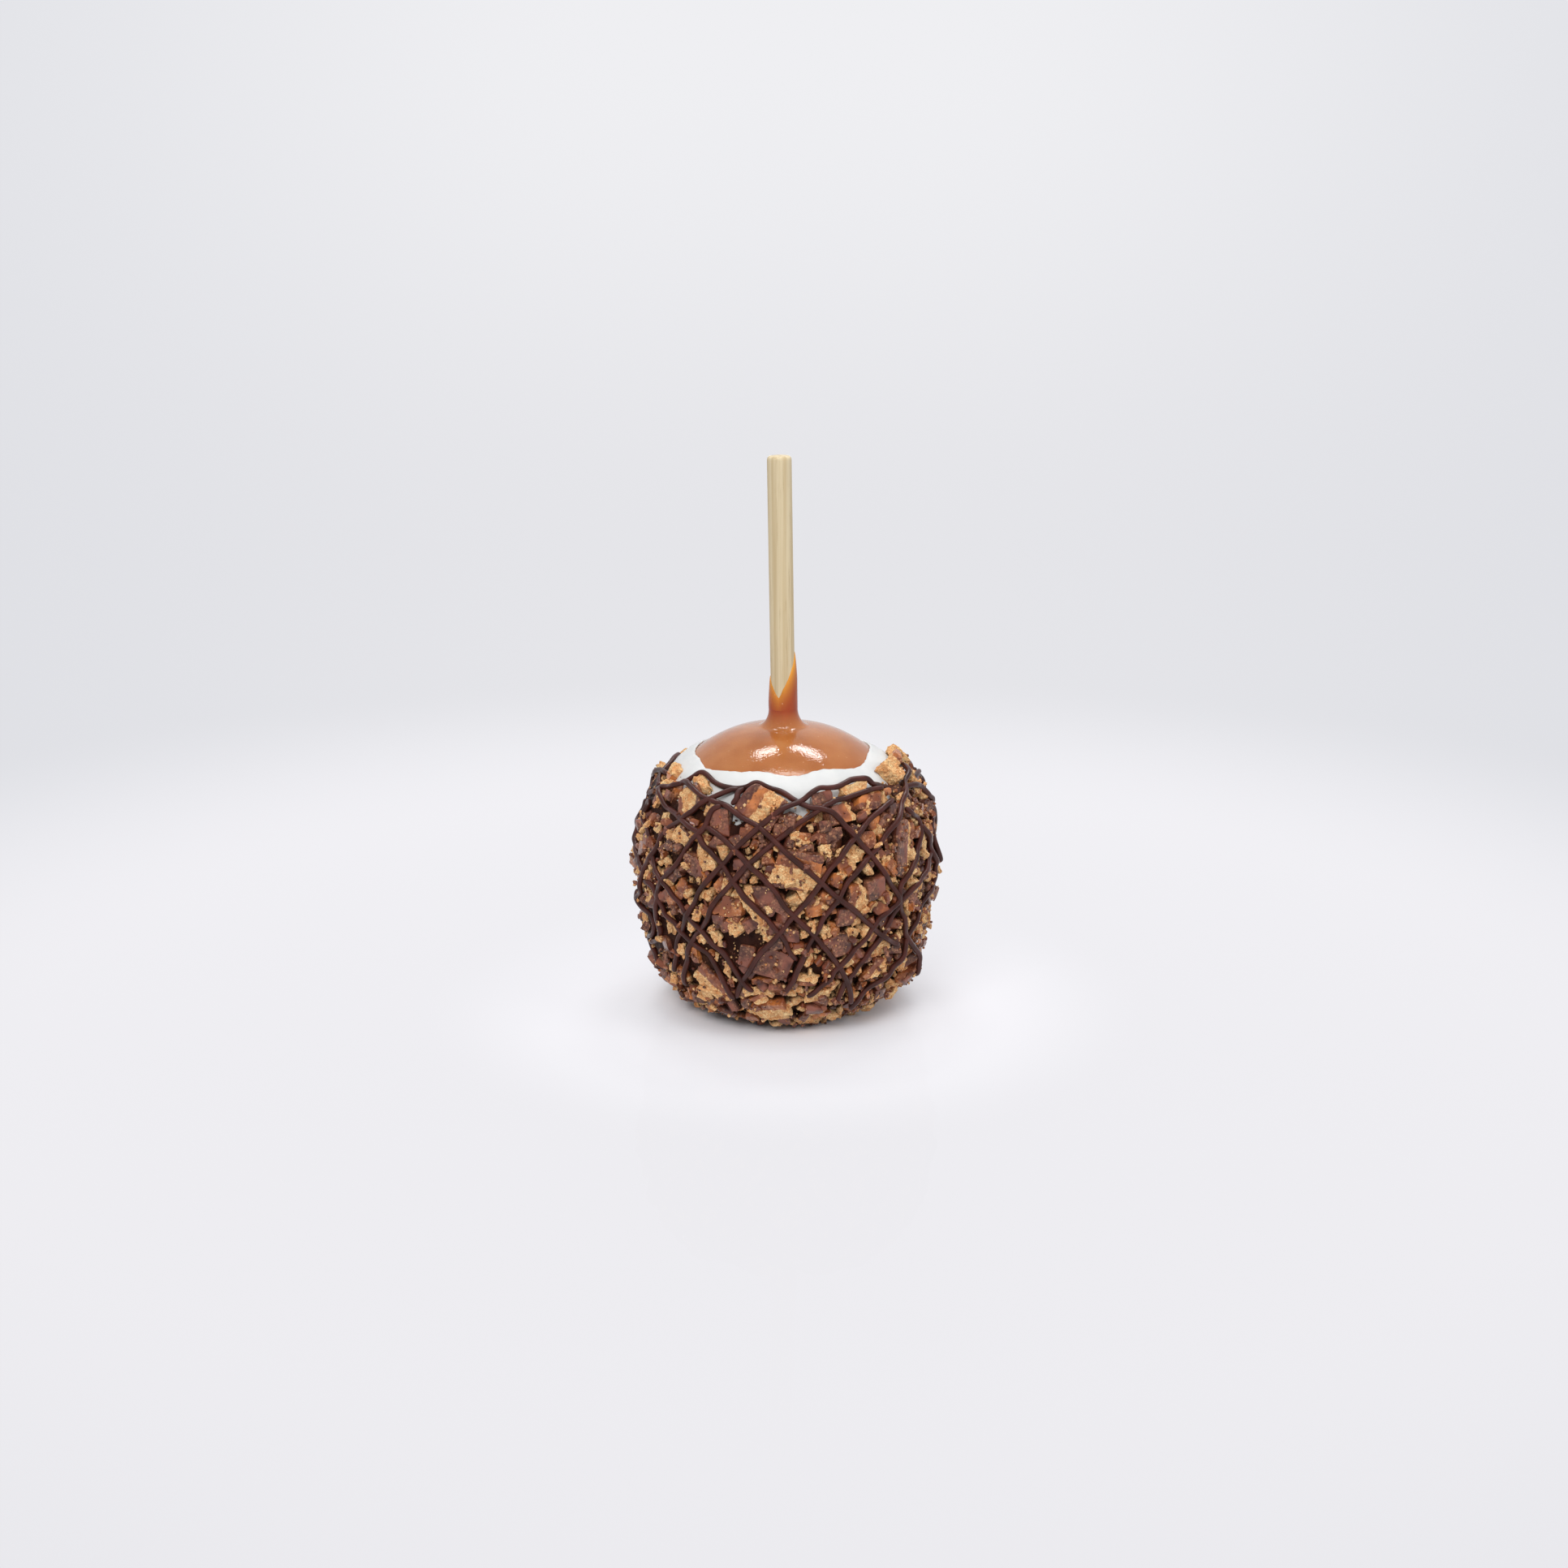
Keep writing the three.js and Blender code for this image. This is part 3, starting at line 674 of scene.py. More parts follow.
def makeCoat():
    def rimAt(azimuth):
        long, short = coat["ragged"]
        ragged = long * noise.noise(Vector((azimuth * 0.25, 0, 4.2)))
        ragged += short * noise.noise(Vector((azimuth * 0.9, 0, 8)))
        return easedAround(coat["rim"], azimuth) + ragged

    def roughen(azimuth, elevation, out):
        if out < 0:
            return 0
        broad, fine = coat["lumps"]
        place = onSide(azimuth, elevation, 0) * coat["lumpScale"]
        lumps = broad * noise.noise(place) + fine * noise.noise(place * 3.1)
        thinned = max(1 - (rimAt(azimuth) - elevation) / coat["feather"], 0) ** 1.5
        return lumps * (1 - thinned) - 0.7 * out * thinned

    rings = bowlRings(coat["inner"], coatOut, coat["rings"], coat["rounding"])
    shape = bowlShape(rings, coat["steps"], rimAt, roughen)
    bmesh.ops.remove_doubles(shape, verts=shape.verts, dist=1e-3)
    mesh = meshFromBmesh("whiteCoat", shape)
    return newPiece("whiteCoat", mesh, coatMaterial(), "white_coat")


whiteCoat = makeCoat()


# the bar that the pieces are chopped from: where its layers lie, and its colours
bar = {
    "height": 9.4,
    "halfWidth": 10,
    "skin": 0.95,  # chocolate all round
    "biscuitTop": 5.9,  # biscuit below this height, caramel above it
    "wobble": 0.5,
    "soft": 0.12,  # half the width over which one layer turns to the next
    "granule": 0.0006,  # metres, as the material needs it
    "cream": linear(255, 226, 170),
    "toasted": linear(226, 158, 100),
    "pore": linear(142, 74, 42),
    "amber": linear(204, 124, 64),
    "brown": linear(122, 64, 38),
    "milk": linear(132, 76, 58),
    "cocoa": linear(74, 35, 26),
    "dust": linear(208, 148, 108),
    # the near-black of the painted shade deep in the gaps between the pieces
    "gap": linear(30, 11, 6),
    "gapShadeDepth": (0.1, 1.5),  # millimetres under the crest over which the colours sink into the painted shade of the gaps
    "gapShadeShare": 0.9,
    "shine": 0.8,
}


def barMaterial():
    principled = {"IOR": 1.45, "Specular IOR Level": 0.15, "Coat Roughness": 0.14}
    material, tree, shader = newMaterial("choppedBar", principled)
    place = objectPlace(tree)
    inBar = addNode(tree, "ShaderNodeAttribute", attribute_name="barPlace").outputs["Vector"]
    split = addNode(tree, "ShaderNodeSeparateXYZ", {0: inBar})

    def times(first, second):
        return mathNode(tree, "MULTIPLY", first, second)

    def past(value, edge):
        return stepBetween(tree, value, edge - bar["soft"], edge + bar["soft"])

    def before(value, edge):
        return stepBetween(tree, value, edge + bar["soft"], edge - bar["soft"])

    wobble = mathNode(tree, "MULTIPLY_ADD", noiseAt(tree, place, 900), 0.9, -0.45)
    height = mathNode(tree, "ADD", split.outputs["Z"], wobble)
    across = mathNode(tree, "ADD", mathNode(tree, "ABSOLUTE", split.outputs["X"]), wobble)
    inHeight = times(past(height, bar["skin"]), before(height, bar["height"] - bar["skin"]))
    filling = times(inHeight, before(across, bar["halfWidth"] - bar["skin"]))
    isCaramel = past(height, bar["biscuitTop"])

    fine = crumbsIn(tree, place, bar["granule"])
    coarse = crumbsIn(tree, place, bar["granule"] * 2.7)
    # crumb clings to parts of the chocolate and the caramel, and leaves others smooth
    crumbed = stepBetween(tree, noiseAt(tree, place, 200, detail=2), 0.4, 0.56)
    toast = stepBetween(tree, noiseAt(tree, place, 420, detail=3), 0.35, 0.7)
    tone = mathNode(tree, "MULTIPLY_ADD", fine["Shade"], 0.6, times(toast, 0.5), clamp=True)
    biscuit = mixColours(tree, tone, bar["cream"], bar["toasted"])
    biscuit = mixColours(tree, times(coarse["Pore"], 0.6), biscuit, bar["toasted"])
    # painted shade between the granules and in the pores
    biscuit = mixColours(tree, times(fine["CreviceShade"], 0.2), biscuit, bar["pore"])
    biscuit = mixColours(tree, times(fine["Pore"], 0.5), biscuit, bar["pore"])
    streaks = stepBetween(tree, noiseAt(tree, place, 190, detail=3), 0.42, 0.72)
    caramelColour = mixColours(tree, streaks, bar["brown"], bar["amber"])
    caramelColour = mixColours(tree, times(crumbed, times(fine["Pale"], 0.6)), caramelColour, bar["dust"])
    cloudy = stepBetween(tree, noiseAt(tree, place, 230, detail=4), 0.38, 0.62)
    chocolate = mixColours(tree, cloudy, bar["cocoa"], bar["milk"])
    chocolate = mixColours(tree, times(crumbed, times(fine["Shade"], 0.25)), chocolate, bar["dust"])
    chocolate = mixColours(tree, times(crumbed, times(fine["Pale"], 0.45)), chocolate, bar["dust"])
    # painted shade in the crevices between the granules where crumb clings
    chocolate = mixColours(tree, times(crumbed, times(fine["CreviceShade"], 0.5)), chocolate, bar["gap"])
    colour = mixColours(tree, isCaramel, biscuit, caramelColour)
    colour = mixColours(tree, filling, chocolate, colour)
    # painted shade: the further under the crust's crest, the nearer the colour comes to the near-black of the
    # gaps
    sunk = stepBetween(tree, split.outputs["Y"], *bar["gapShadeDepth"])
    colour = mixColours(tree, times(sunk, bar["gapShadeShare"]), colour, bar["gap"])
    tree.links.new(colour, shader.inputs["Base Color"])

    isBiscuit = times(filling, mathNode(tree, "SUBTRACT", 1.0, isCaramel))
    tree.links.new(mixValues(tree, isBiscuit, 0.5, 0.9), shader.inputs["Roughness"])
    # chocolate and caramel shine, biscuit and the gaps don't
    dull = mathNode(tree, "MAXIMUM", isBiscuit, sunk)
    tree.links.new(mixValues(tree, dull, bar["shine"], 0.0), shader.inputs["Coat Weight"])
    # where crumb clings, on biscuit and in the gaps the surface is gritty
    grit = mathNode(tree, "MULTIPLY_ADD", crumbed, 0.45, 0.06)
    grit = mathNode(tree, "MAXIMUM", grit, times(isBiscuit, 0.45))
    grit = mathNode(tree, "MAXIMUM", grit, times(sunk, 0.4))
    lumps = mathNode(tree, "MULTIPLY_ADD", coarse["Height"], 1.1, fine["Height"])
    tree.links.new(bumpFrom(tree, times(lumps, grit), bar["granule"], 1.0), shader.inputs["Normal"])
    return material


choppedBar = barMaterial()


# the bed that the pieces of the crust stick to
bed = {
    "steps": 200,
    "rings": 84,
    "rounding": 0.8,
    "overlap": 0.1,  # how far it reaches in past the crust's inner face
    "lumps": (0.7, 0.35),
    "depth": 1.9,
    "barHeight": 9.8,  # mostly chocolate, with a little caramel
    "barWander": 2.4,
    "belowRim": 9.5,  # degrees from the crust's edge down to the bed's, which leaves white in the gaps
    "rimWander": 2.4,
    "rim": [
        [-130, 41], [-86, 43], [-60, 41.5], [-32, 42], [-19.5, 38.5], [-8, 41], [10, 38], [25, 42],
        [45, 39.5], [75, 43], [105, 42], [140, 40], [180, 42.5],
    ],
}


def crustEdge(azimuth):
    return easedAround(bed["rim"], azimuth)


def makeBed():
    def rimAt(azimuth):
        wander = bed["rimWander"] * noise.noise(Vector((azimuth * 0.12, 3, 0)))
        return crustEdge(azimuth) - bed["belowRim"] + wander

    def roughen(azimuth, elevation, out):
        isInner = out < crustOut + 0.5
        if isInner:
            return 0
        broad, fine = bed["lumps"]
        place = onSide(azimuth, elevation, 0)
        return broad * noise.noise(place * 0.35) + fine * noise.noise(place * 1.1)

    inner, outer = crustOut - bed["overlap"], crustOut + layers["bed"]
    rings = bowlRings(inner, outer, bed["rings"], bed["rounding"])
    shape = bowlShape(rings, bed["steps"], rimAt, roughen)
    bmesh.ops.remove_doubles(shape, verts=shape.verts, dist=1e-3)
    place = shape.verts.layers.float_vector.new("barPlace")
    for vert in shape.verts:
        wander = bed["barWander"] * noise.noise(vert.co * 0.24)
        # its depth puts the whole bed in the painted shade of the gaps
        vert[place] = Vector((0, bed["depth"], bed["barHeight"] + wander))
        vert.co.z = max(vert.co.z, 0)
    mesh = meshFromBmesh("crustBed", shape)
    return newPiece("crustBed", mesh, choppedBar, "candy_crust")


crustBed = makeBed()


# chopped pieces: what the scattered ones measure, how they all sit and how they break
chop = {
    "count": 116,
    "seed": 20,
    "azimuthScatter": 8,
    "longest": 11.5,
    "shortest": 6.2,
    "sizePower": 1.7,  # the higher, the fewer long ones
    "clearOf": 0.3,  # share of its width that one keeps from a listed piece
    "widthShare": [0.55, 0.95],
    "thickness": [3, 5],
    "tilt": 14,
    "cornerShare": [0.74, 1.04],
    "crest": [[-90, 3], [-62, 4], [-25, 2.2], [0, 3.3], [20, 2.6], [42, 2]],
    "crestScatter": 0.7,
    "thickerRight": 0.65,
    "wedge": 0.12,
    "lowest": -84,
    "highest": 41,
    "cuts": 9,
    "grow": 1.04,  # makes up for what rounding takes off the corners
    "roundness": (16, 32),
    "chips": 7,
    "chipShare": (0.56, 0.88),  # how much of the reach is left where a chip is off
    "skinChance": 0.35,
    "gapShadeFade": 6,  # degrees below the bed's rim over which the gaps reach their full painted shade
    "crispAngle": 30,
}

# listed pieces: azimuth and height, size, spin, lift, and how the bar's layers lie in each:
# the lay is the local axis up which the bar's height runs, and the cut is that height in the middle
heroes = [
    {"at": (-10, 63.2), "size": (11.4, 9.6, 5.4), "spin": -30, "lift": 0.6, "lay": (-1, 0, 0), "cut": 5.6},
    {"at": (5.5, 48.3), "size": (13.4, 12, 5.8), "spin": -13, "lift": 1, "lay": (0, 1, 0), "cut": 5.7},
    {"at": (-3.6, 23.3), "size": (10, 8, 4), "spin": -20, "lift": 0.8, "lay": (0, 0, 1), "cut": 7.9},
    {"at": (-45, 62.5), "size": (8.6, 7, 5), "spin": 35, "lift": 0.5, "lay": (-1, 0, 0), "cut": 3.6},
    {"at": (-99, 62), "size": (8, 6, 4.6), "spin": 0, "lift": 0.6, "lay": (0, -1, 0), "cut": 6.4},
    {"at": (66, 67), "size": (6.6, 6.4, 5), "spin": 10, "lift": 0.6, "lay": (0, 0, -1), "cut": 5},
    {"at": (50.5, 50.8), "size": (12.6, 5.6, 5), "spin": 82, "lift": 0.8, "lay": (0, -1, 0), "cut": -0.6},
    {"at": (35, 41.5), "size": (6.4, 6.6, 5), "spin": 8, "lift": 0.8, "lay": (0, 0, 1), "cut": 9.6},
    {"at": (24, 61), "size": (9, 5.6, 4.6), "spin": 8, "lift": 0.5, "lay": (-1, 0, 0), "cut": 8},
    {"at": (-27, 58.8), "size": (5.4, 7, 4.6), "spin": 6, "lift": 0.4, "lay": (0, 0, 1), "cut": 9.4},
    {"at": (-11.3, 38), "size": (11, 3.4, 4), "spin": -60, "lift": 0.7, "lay": (0, 0, 1), "cut": 3.2},
    {"at": (22, 27.5), "size": (7.4, 7, 5), "spin": 12, "lift": 0.5, "lay": (0, 0, 1), "cut": 8.4},
    {"at": (-30, 14.5), "size": (13, 7, 5), "spin": -40, "lift": 0.7, "lay": (0, 1, 0), "cut": 5.2},
    {"at": (-4.4, 8.8), "size": (9.4, 7.4, 5), "spin": 20, "lift": 1.2, "lay": (0, 1, 0), "cut": 4.7},
    {"at": (63, 13.6), "size": (8.6, 4, 3.2), "spin": 35, "lift": 2.4, "lay": (0, 0, 1), "cut": 7.7},
    {"at": (96, 50), "size": (9.4, 7, 5), "spin": 70, "lift": 1.2, "lay": (0, 1, 0), "cut": 5},
    {"at": (-94, 20), "size": (8, 6, 4.6), "spin": 100, "lift": 1, "lay": (1, 0, 0), "cut": 4},
]
heroCuts = 17
heroChipShare = (0.76, 0.95)

# smaller pieces on the front, by what shows of the bar: azimuth and height, length, width and spin
frontPieces = {
    "biscuit": [
        (-43, 66.5, 6.6, 3.6, -35), (-33, 61.5, 3.4, 4.6, 0), (-56, 57, 3, 2.6, 20), (-60, 53.5, 3, 2.8, 0),
        (-28, 48, 3.4, 3.2, 10), (-11, 45.5, 2.6, 2.4, 0), (35.5, 65.8, 10, 3.4, 8), (60, 59, 3.4, 3.4, 0),
        (97, 68, 5, 4, 20), (26, 52, 5, 3.6, 30), (18.5, 52.5, 3.4, 4, 0), (4, 56.5, 3, 2.6, 0),
        (37, 49, 2.2, 4, 10), (40.5, 48.3, 2.2, 4, -12), (43.5, 47.3, 3, 3.2, 0), (22, 46.3, 4, 3, 0),
        (52.5, 42.5, 2.2, 3, 0), (68, 48.5, 3, 4.6, 0), (80, 63, 5, 4, 0), (-17, 32.5, 6, 4.6, 25),
        (-26.5, 30, 5.2, 2.8, -50), (-32, 28, 2.6, 3, 0), (-37, 30.5, 3, 2.6, 0), (-33, 35.5, 3, 3.6, 0),
        (-48.5, 29.5, 8, 4, -55), (-63, 34.5, 5, 4, 0), (-44, 22.5, 2.8, 4, 0), (-23, 20, 3, 5.4, 0),
        (-12, 14.5, 7, 2.6, 0), (7.5, 31, 2.6, 3, 0), (11, 33.5, 3, 2.6, 0), (14.8, 30.5, 2.2, 2.2, 0),
        (12, 40, 2, 3, 0), (25, 22.5, 5.6, 3.4, 40), (32, 26.5, 2, 2.6, 0), (40, 24, 6.4, 5.6, 0),
        (53, 34, 3, 5.6, 30), (53.5, 29, 3.4, 3, 0), (68, 28, 3, 4.6, 0), (90, 23, 3, 4.4, 0),
        (15, 13.5, 8, 3.6, 0), (5.5, 15.5, 5, 2.6, 0), (21, 10.5, 4.4, 3, 0), (45, 9, 3, 3, 0),
    ],
    "caramel": [
        (-70, 59, 4.4, 3.4, 0), (-66, 54.5, 3.4, 4.6, 0), (-38, 57.5, 3, 3, 0), (-14.5, 57.5, 4, 4, 0),
        (-9, 52.5, 5.6, 3, 35), (-5.5, 50.3, 4.4, 3.4, 0), (50.5, 63.5, 3.4, 2.6, 0), (39, 57.5, 4.4, 3.8, 0),
        (71, 58.5, 3, 3.4, 0), (85, 68, 5, 4, 0), (41.5, 53, 3, 4.4, 0), (32, 54.6, 3.2, 2.8, 0),
        (14.5, 55.5, 3.4, 4.6, 0), (22.5, 49, 3.6, 3.4, 0), (40.5, 45.5, 3, 4.2, 0), (80, 54, 5, 4.6, 0),
        (-18, 38, 7.4, 6, 0), (-41.5, 41.5, 3.6, 4, 0), (-47, 37, 6, 5, -50), (-36.5, 22.5, 4.4, 5, 0),
        (-8, 17.5, 8, 4, 0), (11.5, 37.5, 6.6, 4.6, 0), (19, 31.5, 3.4, 4, 0), (61, 24, 2.6, 3.8, 0),
        (19, 6.5, 4, 2.6, 0), (40, 8, 3.4, 2.4, 0),
    ],
    "chocolate": [
        (-60, 61.5, 3.4, 3.2, 0), (-26, 53.7, 5.4, 5, 0), (-1.5, 58, 4.5, 4, 0), (-50, 50.5, 3.4, 3.4, 0),
        (-36, 47, 5, 8, 0), (-17, 49, 5, 3.6, 0), (17, 64.5, 5.6, 4.6, 0), (16, 58, 4, 3.4, 0),
        (49, 59.5, 4, 4, 0), (20, 56, 4.6, 3.6, 0), (1.5, 58.3, 4, 3.4, 0), (47, 44.5, 3.6, 4.4, 0),
        (-24, 34, 3.6, 3, 0), (-7, 40, 8, 8, 0), (-2.5, 33, 4, 3.4, 0), (-14, 24.5, 4, 7, -10),
        (-54, 21.5, 4.6, 7.4, 0), (2, 31.5, 5, 5, 0), (23.5, 35, 5.4, 4.4, 0), (16, 28, 3, 3, 0),
        (14, 8.5, 5, 3.6, 0), (80, 18, 4, 3.4, 0),
    ],
    "stripes": [
        (-72, 66.3, 5.6, 5.8, 180), (8.5, 55.3, 3.6, 5, 0), (27, 40.5, 10, 6, 75), (70, 39.5, 4, 5.4, 0),
        (-22.5, 43, 5.4, 5.6, 90), (-47, 15, 5, 4.6, 0), (5.5, 27.5, 4, 3.8, 0), (38.5, 18.5, 7.6, 3.8, 50),
        (9, 18, 7.4, 3.8, 180),
    ],
    "capped": [(40, 62.6, 9, 5.4, 4), (-72, 46, 6, 5, 10), (75, 32, 5, 5, 0)],
    "upturned": [(-44, 53.5, 7, 6, -25), (-76, 26, 6, 5, 0)],
}
frontReach = 80  # degrees to either side that the front's pieces cover
frontCuts = 10
frontLift = (0, 0.9)
frontSpin = 8
frontTilt = 9
frontThickness = (0.8, 2.2, 4.4)  # share of the width, least and most
kindLays = {
    # the lay and the cut, and the share of the thickness that the cut is taken down by
    "biscuit": {"lay": (0, 0, 1), "cut": 3.1, "down": 0},
    "caramel": {"lay": (0, 0, 1), "cut": 7.7, "down": 0.5},
    "chocolate": {"lay": (0, 0, 1), "cut": 10.8, "down": 0},
    "stripes": {"lay": (0, 1, 0), "cut": 5.9, "down": 0},
    "capped": {"lay": (0, -1, 0), "cut": 8, "down": 0},
    "upturned": {"lay": (0, -1, 0), "cut": 2.6, "down": 0},
}
bareSpots = [
    # azimuth and height, and the radius in which the white coat shows between the top pieces
    (8, 61.8, 1.2), (-19.5, 58.4, 1.2), (-24, 64.8, 1.8), (-31, 66.5, 1.8), (-14, 68, 2),
]


def crestAt(elevation, azimuth=0):
    # how far the crust's crest stands out: a little more on the right than on the left
    aside = math.sin(math.radians(azimuth)) * math.cos(math.radians(elevation))
    return eased(chop["crest"], elevation) + chop["thickerRight"] * aside


crestElevations = np.arange(-89.5, 80, 0.25)
crestHeights = np.array([side(elevation, crustOut + crestAt(elevation))[1] for elevation in crestElevations])


def elevationAt(height):
    # where the crust's crest passes a height
    return float(np.interp(height, crestHeights, crestElevations))


def areaTable():
    at = np.linspace(chop["lowest"], chop["highest"], 91)
    points = [side(elevation, crustOut) for elevation in at]
    reach = [0]
    for here, there in zip(points, points[1:]):
        reach.append(reach[-1] + (here[0] + there[0]) / 2 * math.dist(here, there))
    return np.array(reach) / reach[-1], at


areaShares, areaElevations = areaTable()


def elevationByArea(share):
    return float(np.interp(share, areaShares, areaElevations))


def choppedPieces():
    # the listed pieces, then the scattered ones clear of them and of the front's smaller ones
    draw = drawsFrom(chop["seed"])

    def between(low, high):
        return low + (high - low) * draw()

    def cornerShares():
        return [between(*chop["cornerShare"]) for _ in range(8)]

    pieces = []
    for hero in heroes:
        azimuth, height = hero["at"]
        elevation = elevationAt(height)
        tilt = [(draw() - 0.5) * chop["tilt"] * 0.5 for _ in range(2)]
        out = crestAt(elevation, azimuth) + hero["lift"] - hero["size"][2] / 2
        pieces.append({
            **hero, "azimuth": azimuth, "elevation": elevation, "tilt": tilt, "out": out,
            "corners": cornerShares(),
        })
    goldenTurn = 180 * (3 - math.sqrt(5))
    for i in range(chop["count"]):
        azimuth = (i * goldenTurn + chop["azimuthScatter"] * draw()) % 360 - 180
        elevation = elevationByArea((i + 0.5) / chop["count"])
        length = chop["shortest"] + (chop["longest"] - chop["shortest"]) * draw() ** chop["sizePower"]
        size = (length, length * between(*chop["widthShare"]), between(*chop["thickness"]))
        spin = 360 * draw()
        tilt = [(draw() - 0.5) * 2 * chop["tilt"] for _ in range(2)]
        out = crestAt(elevation, azimuth) + chop["crestScatter"] * (2 * draw() - 1) - size[2] / 2
        shape = {
            "azimuth": azimuth, "elevation": elevation, "size": size, "spin": spin, "tilt": tilt, "out": out,
            "corners": cornerShares(),
        }
        middle = onSide(azimuth, elevation, crustOut + out)
        isCovered = abs(azimuth) < frontReach or any(
            (onSide(hero["azimuth"], hero["elevation"], crustOut + hero["out"]) - middle).length
            < hero["size"][1] / 2 + size[1] * chop["clearOf"]
            for hero in pieces[:len(heroes)]
        )
        if not isCovered:
            pieces.append(shape)
    return pieces


def layOf(kind, thickness):
    rule = kindLays[kind]
    return {"lay": rule["lay"], "cut": rule["cut"] - rule["down"] * thickness}


def cornersFor(random):
    return random.uniform(*chop["cornerShare"], 8)


def placedFront():
    random = np.random.default_rng(chop["seed"])
    share, least, most = frontThickness
    shapes = []
    for kind, rows in frontPieces.items():
        for azimuth, height, length, width, spin in rows:
            elevation = elevationAt(height)
            thickness = min(max(width * share, least), most)
            out = crestAt(elevation, azimuth) + random.uniform(*frontLift) - thickness / 2
            shapes.append({
                "azimuth": azimuth, "elevation": elevation, "size": (length, width, thickness),
                "spin": spin + random.uniform(-frontSpin, frontSpin),
                "tilt": random.uniform(-frontTilt, frontTilt, 2), "out": out,
                "corners": cornersFor(random), **layOf(kind, thickness),
            })
    return shapes


def isBare(azimuth, elevation, within=0):
    here = onSide(azimuth, elevation, crustOut)
    return any(
        (onSide(spotAzimuth, elevationAt(spotHeight), crustOut) - here).length < radius + within
        for spotAzimuth, spotHeight, radius in bareSpots
    )


def settingOf(shape):
    # length and width along the side, thickness outwards
    azimuth, elevation = shape["azimuth"], shape["elevation"]
    outward = outwardAt(azimuth, elevation)
    level = placed(azimuth + 90, 1, 0)
    basis = Matrix((level, outward.cross(level), outward)).transposed().to_4x4()
    basis.translation = onSide(azimuth, elevation, crustOut + shape["out"])
    spin = Matrix.Rotation(math.radians(shape["spin"]), 4, "Z")
    first, second = (math.radians(turn) for turn in shape["tilt"])
    return basis @ spin @ Matrix.Rotation(first, 4, "X") @ Matrix.Rotation(second, 4, "Y")


def cornersAndFaces(shape):
    # a small shape as two arrays, which many copies are made from
    shape.verts.index_update()
    corners = np.array([vert.co[:] for vert in shape.verts])
    faces = np.array([[vert.index for vert in face.verts] for face in shape.faces])
    shape.free()
    return corners, faces


def gridCube(cuts):
    # a cube from -1 to 1, its faces cut into a grid
    shape = bmesh.new()
    bmesh.ops.create_cube(shape, size=2)
    bmesh.ops.subdivide_edges(shape, edges=shape.edges[:], cuts=cuts, use_grid_fill=True)
    return cornersAndFaces(shape)


def moved(points, matrix):
    matrix = np.array(matrix)
    return points @ matrix[:3, :3].T + matrix[:3, 3]


def randomLay(size, random):
    # how the bar's layers lie in a piece: edge on, or face up or down
    lay = [(1, 0, 0), (-1, 0, 0), (0, 1, 0), (0, -1, 0), (0, 0, 1), (0, 0, -1)][random.integers(6)]
    extent = abs(np.dot(size, lay)) / 2
    margin = min(extent * 0.8, bar["height"] / 2)
    return lay, random.uniform(margin, bar["height"] - margin)


def facetedBlock(grid, half, chipShare, random):
    # points and outward directions of a block with chips off its edges, nearly sharp where faces meet
    broken = random.normal(size=(chop["chips"], 3))
    broken /= np.linalg.norm(broken, axis=1, keepdims=True)
    facings = np.concatenate([np.eye(3), -np.eye(3), broken])
    reaches = np.concatenate([half, half, (np.abs(broken) @ half) * random.uniform(*chipShare, len(broken))])
    power = random.uniform(*chop["roundness"])
    directions = grid * half
    directions /= np.linalg.norm(directions, axis=1, keepdims=True)
    shares = np.maximum(directions @ facings.T, 0) / reaches
    largest = shares.max(1, keepdims=True)
    weights = (shares / largest) ** power
    reach = 1 / (largest[:, 0] * weights.sum(1) ** (1 / power))
    outward = ((shares / largest) ** (power - 1) / reaches) @ facings
    outward /= np.linalg.norm(outward, axis=1, keepdims=True)
    return directions * reach[:, None], outward


brokenFaces = {
    # how far a broken face swells, the scale of its lumps, how proud it stands and how rough it is
    "biscuit": {"swell": 0.45, "scale": 0.75, "proud": -0.1, "jitter": 0.3},
    "caramel": {"swell": 0.24, "scale": 0.35, "proud": -0.12, "jitter": 0.07},
    "chocolate": {"swell": 0.2, "scale": 0.5, "proud": 0.1, "jitter": 0.1},
}
crumbSwell = {"most": 0.6, "scale": 0.8}  # the biscuit's granules


def kindAt(height, across):
    # what the bar is made of at a height and a distance from its middle
    isInHeight = bar["skin"] < height < bar["height"] - bar["skin"]
    if not (isInHeight and across < bar["halfWidth"] - bar["skin"]):
        return "chocolate"
    return "biscuit" if height < bar["biscuitTop"] else "caramel"


def swellOf(kind, spot):
    face = brokenFaces[kind]
    granules = 0
    if kind == "biscuit":
        granules = crumbSwell["most"] * (0.5 - noise.voronoi(spot * crumbSwell["scale"])[0][0])
    return granules + face["swell"] * noise.noise(spot * face["scale"]) + face["proud"]


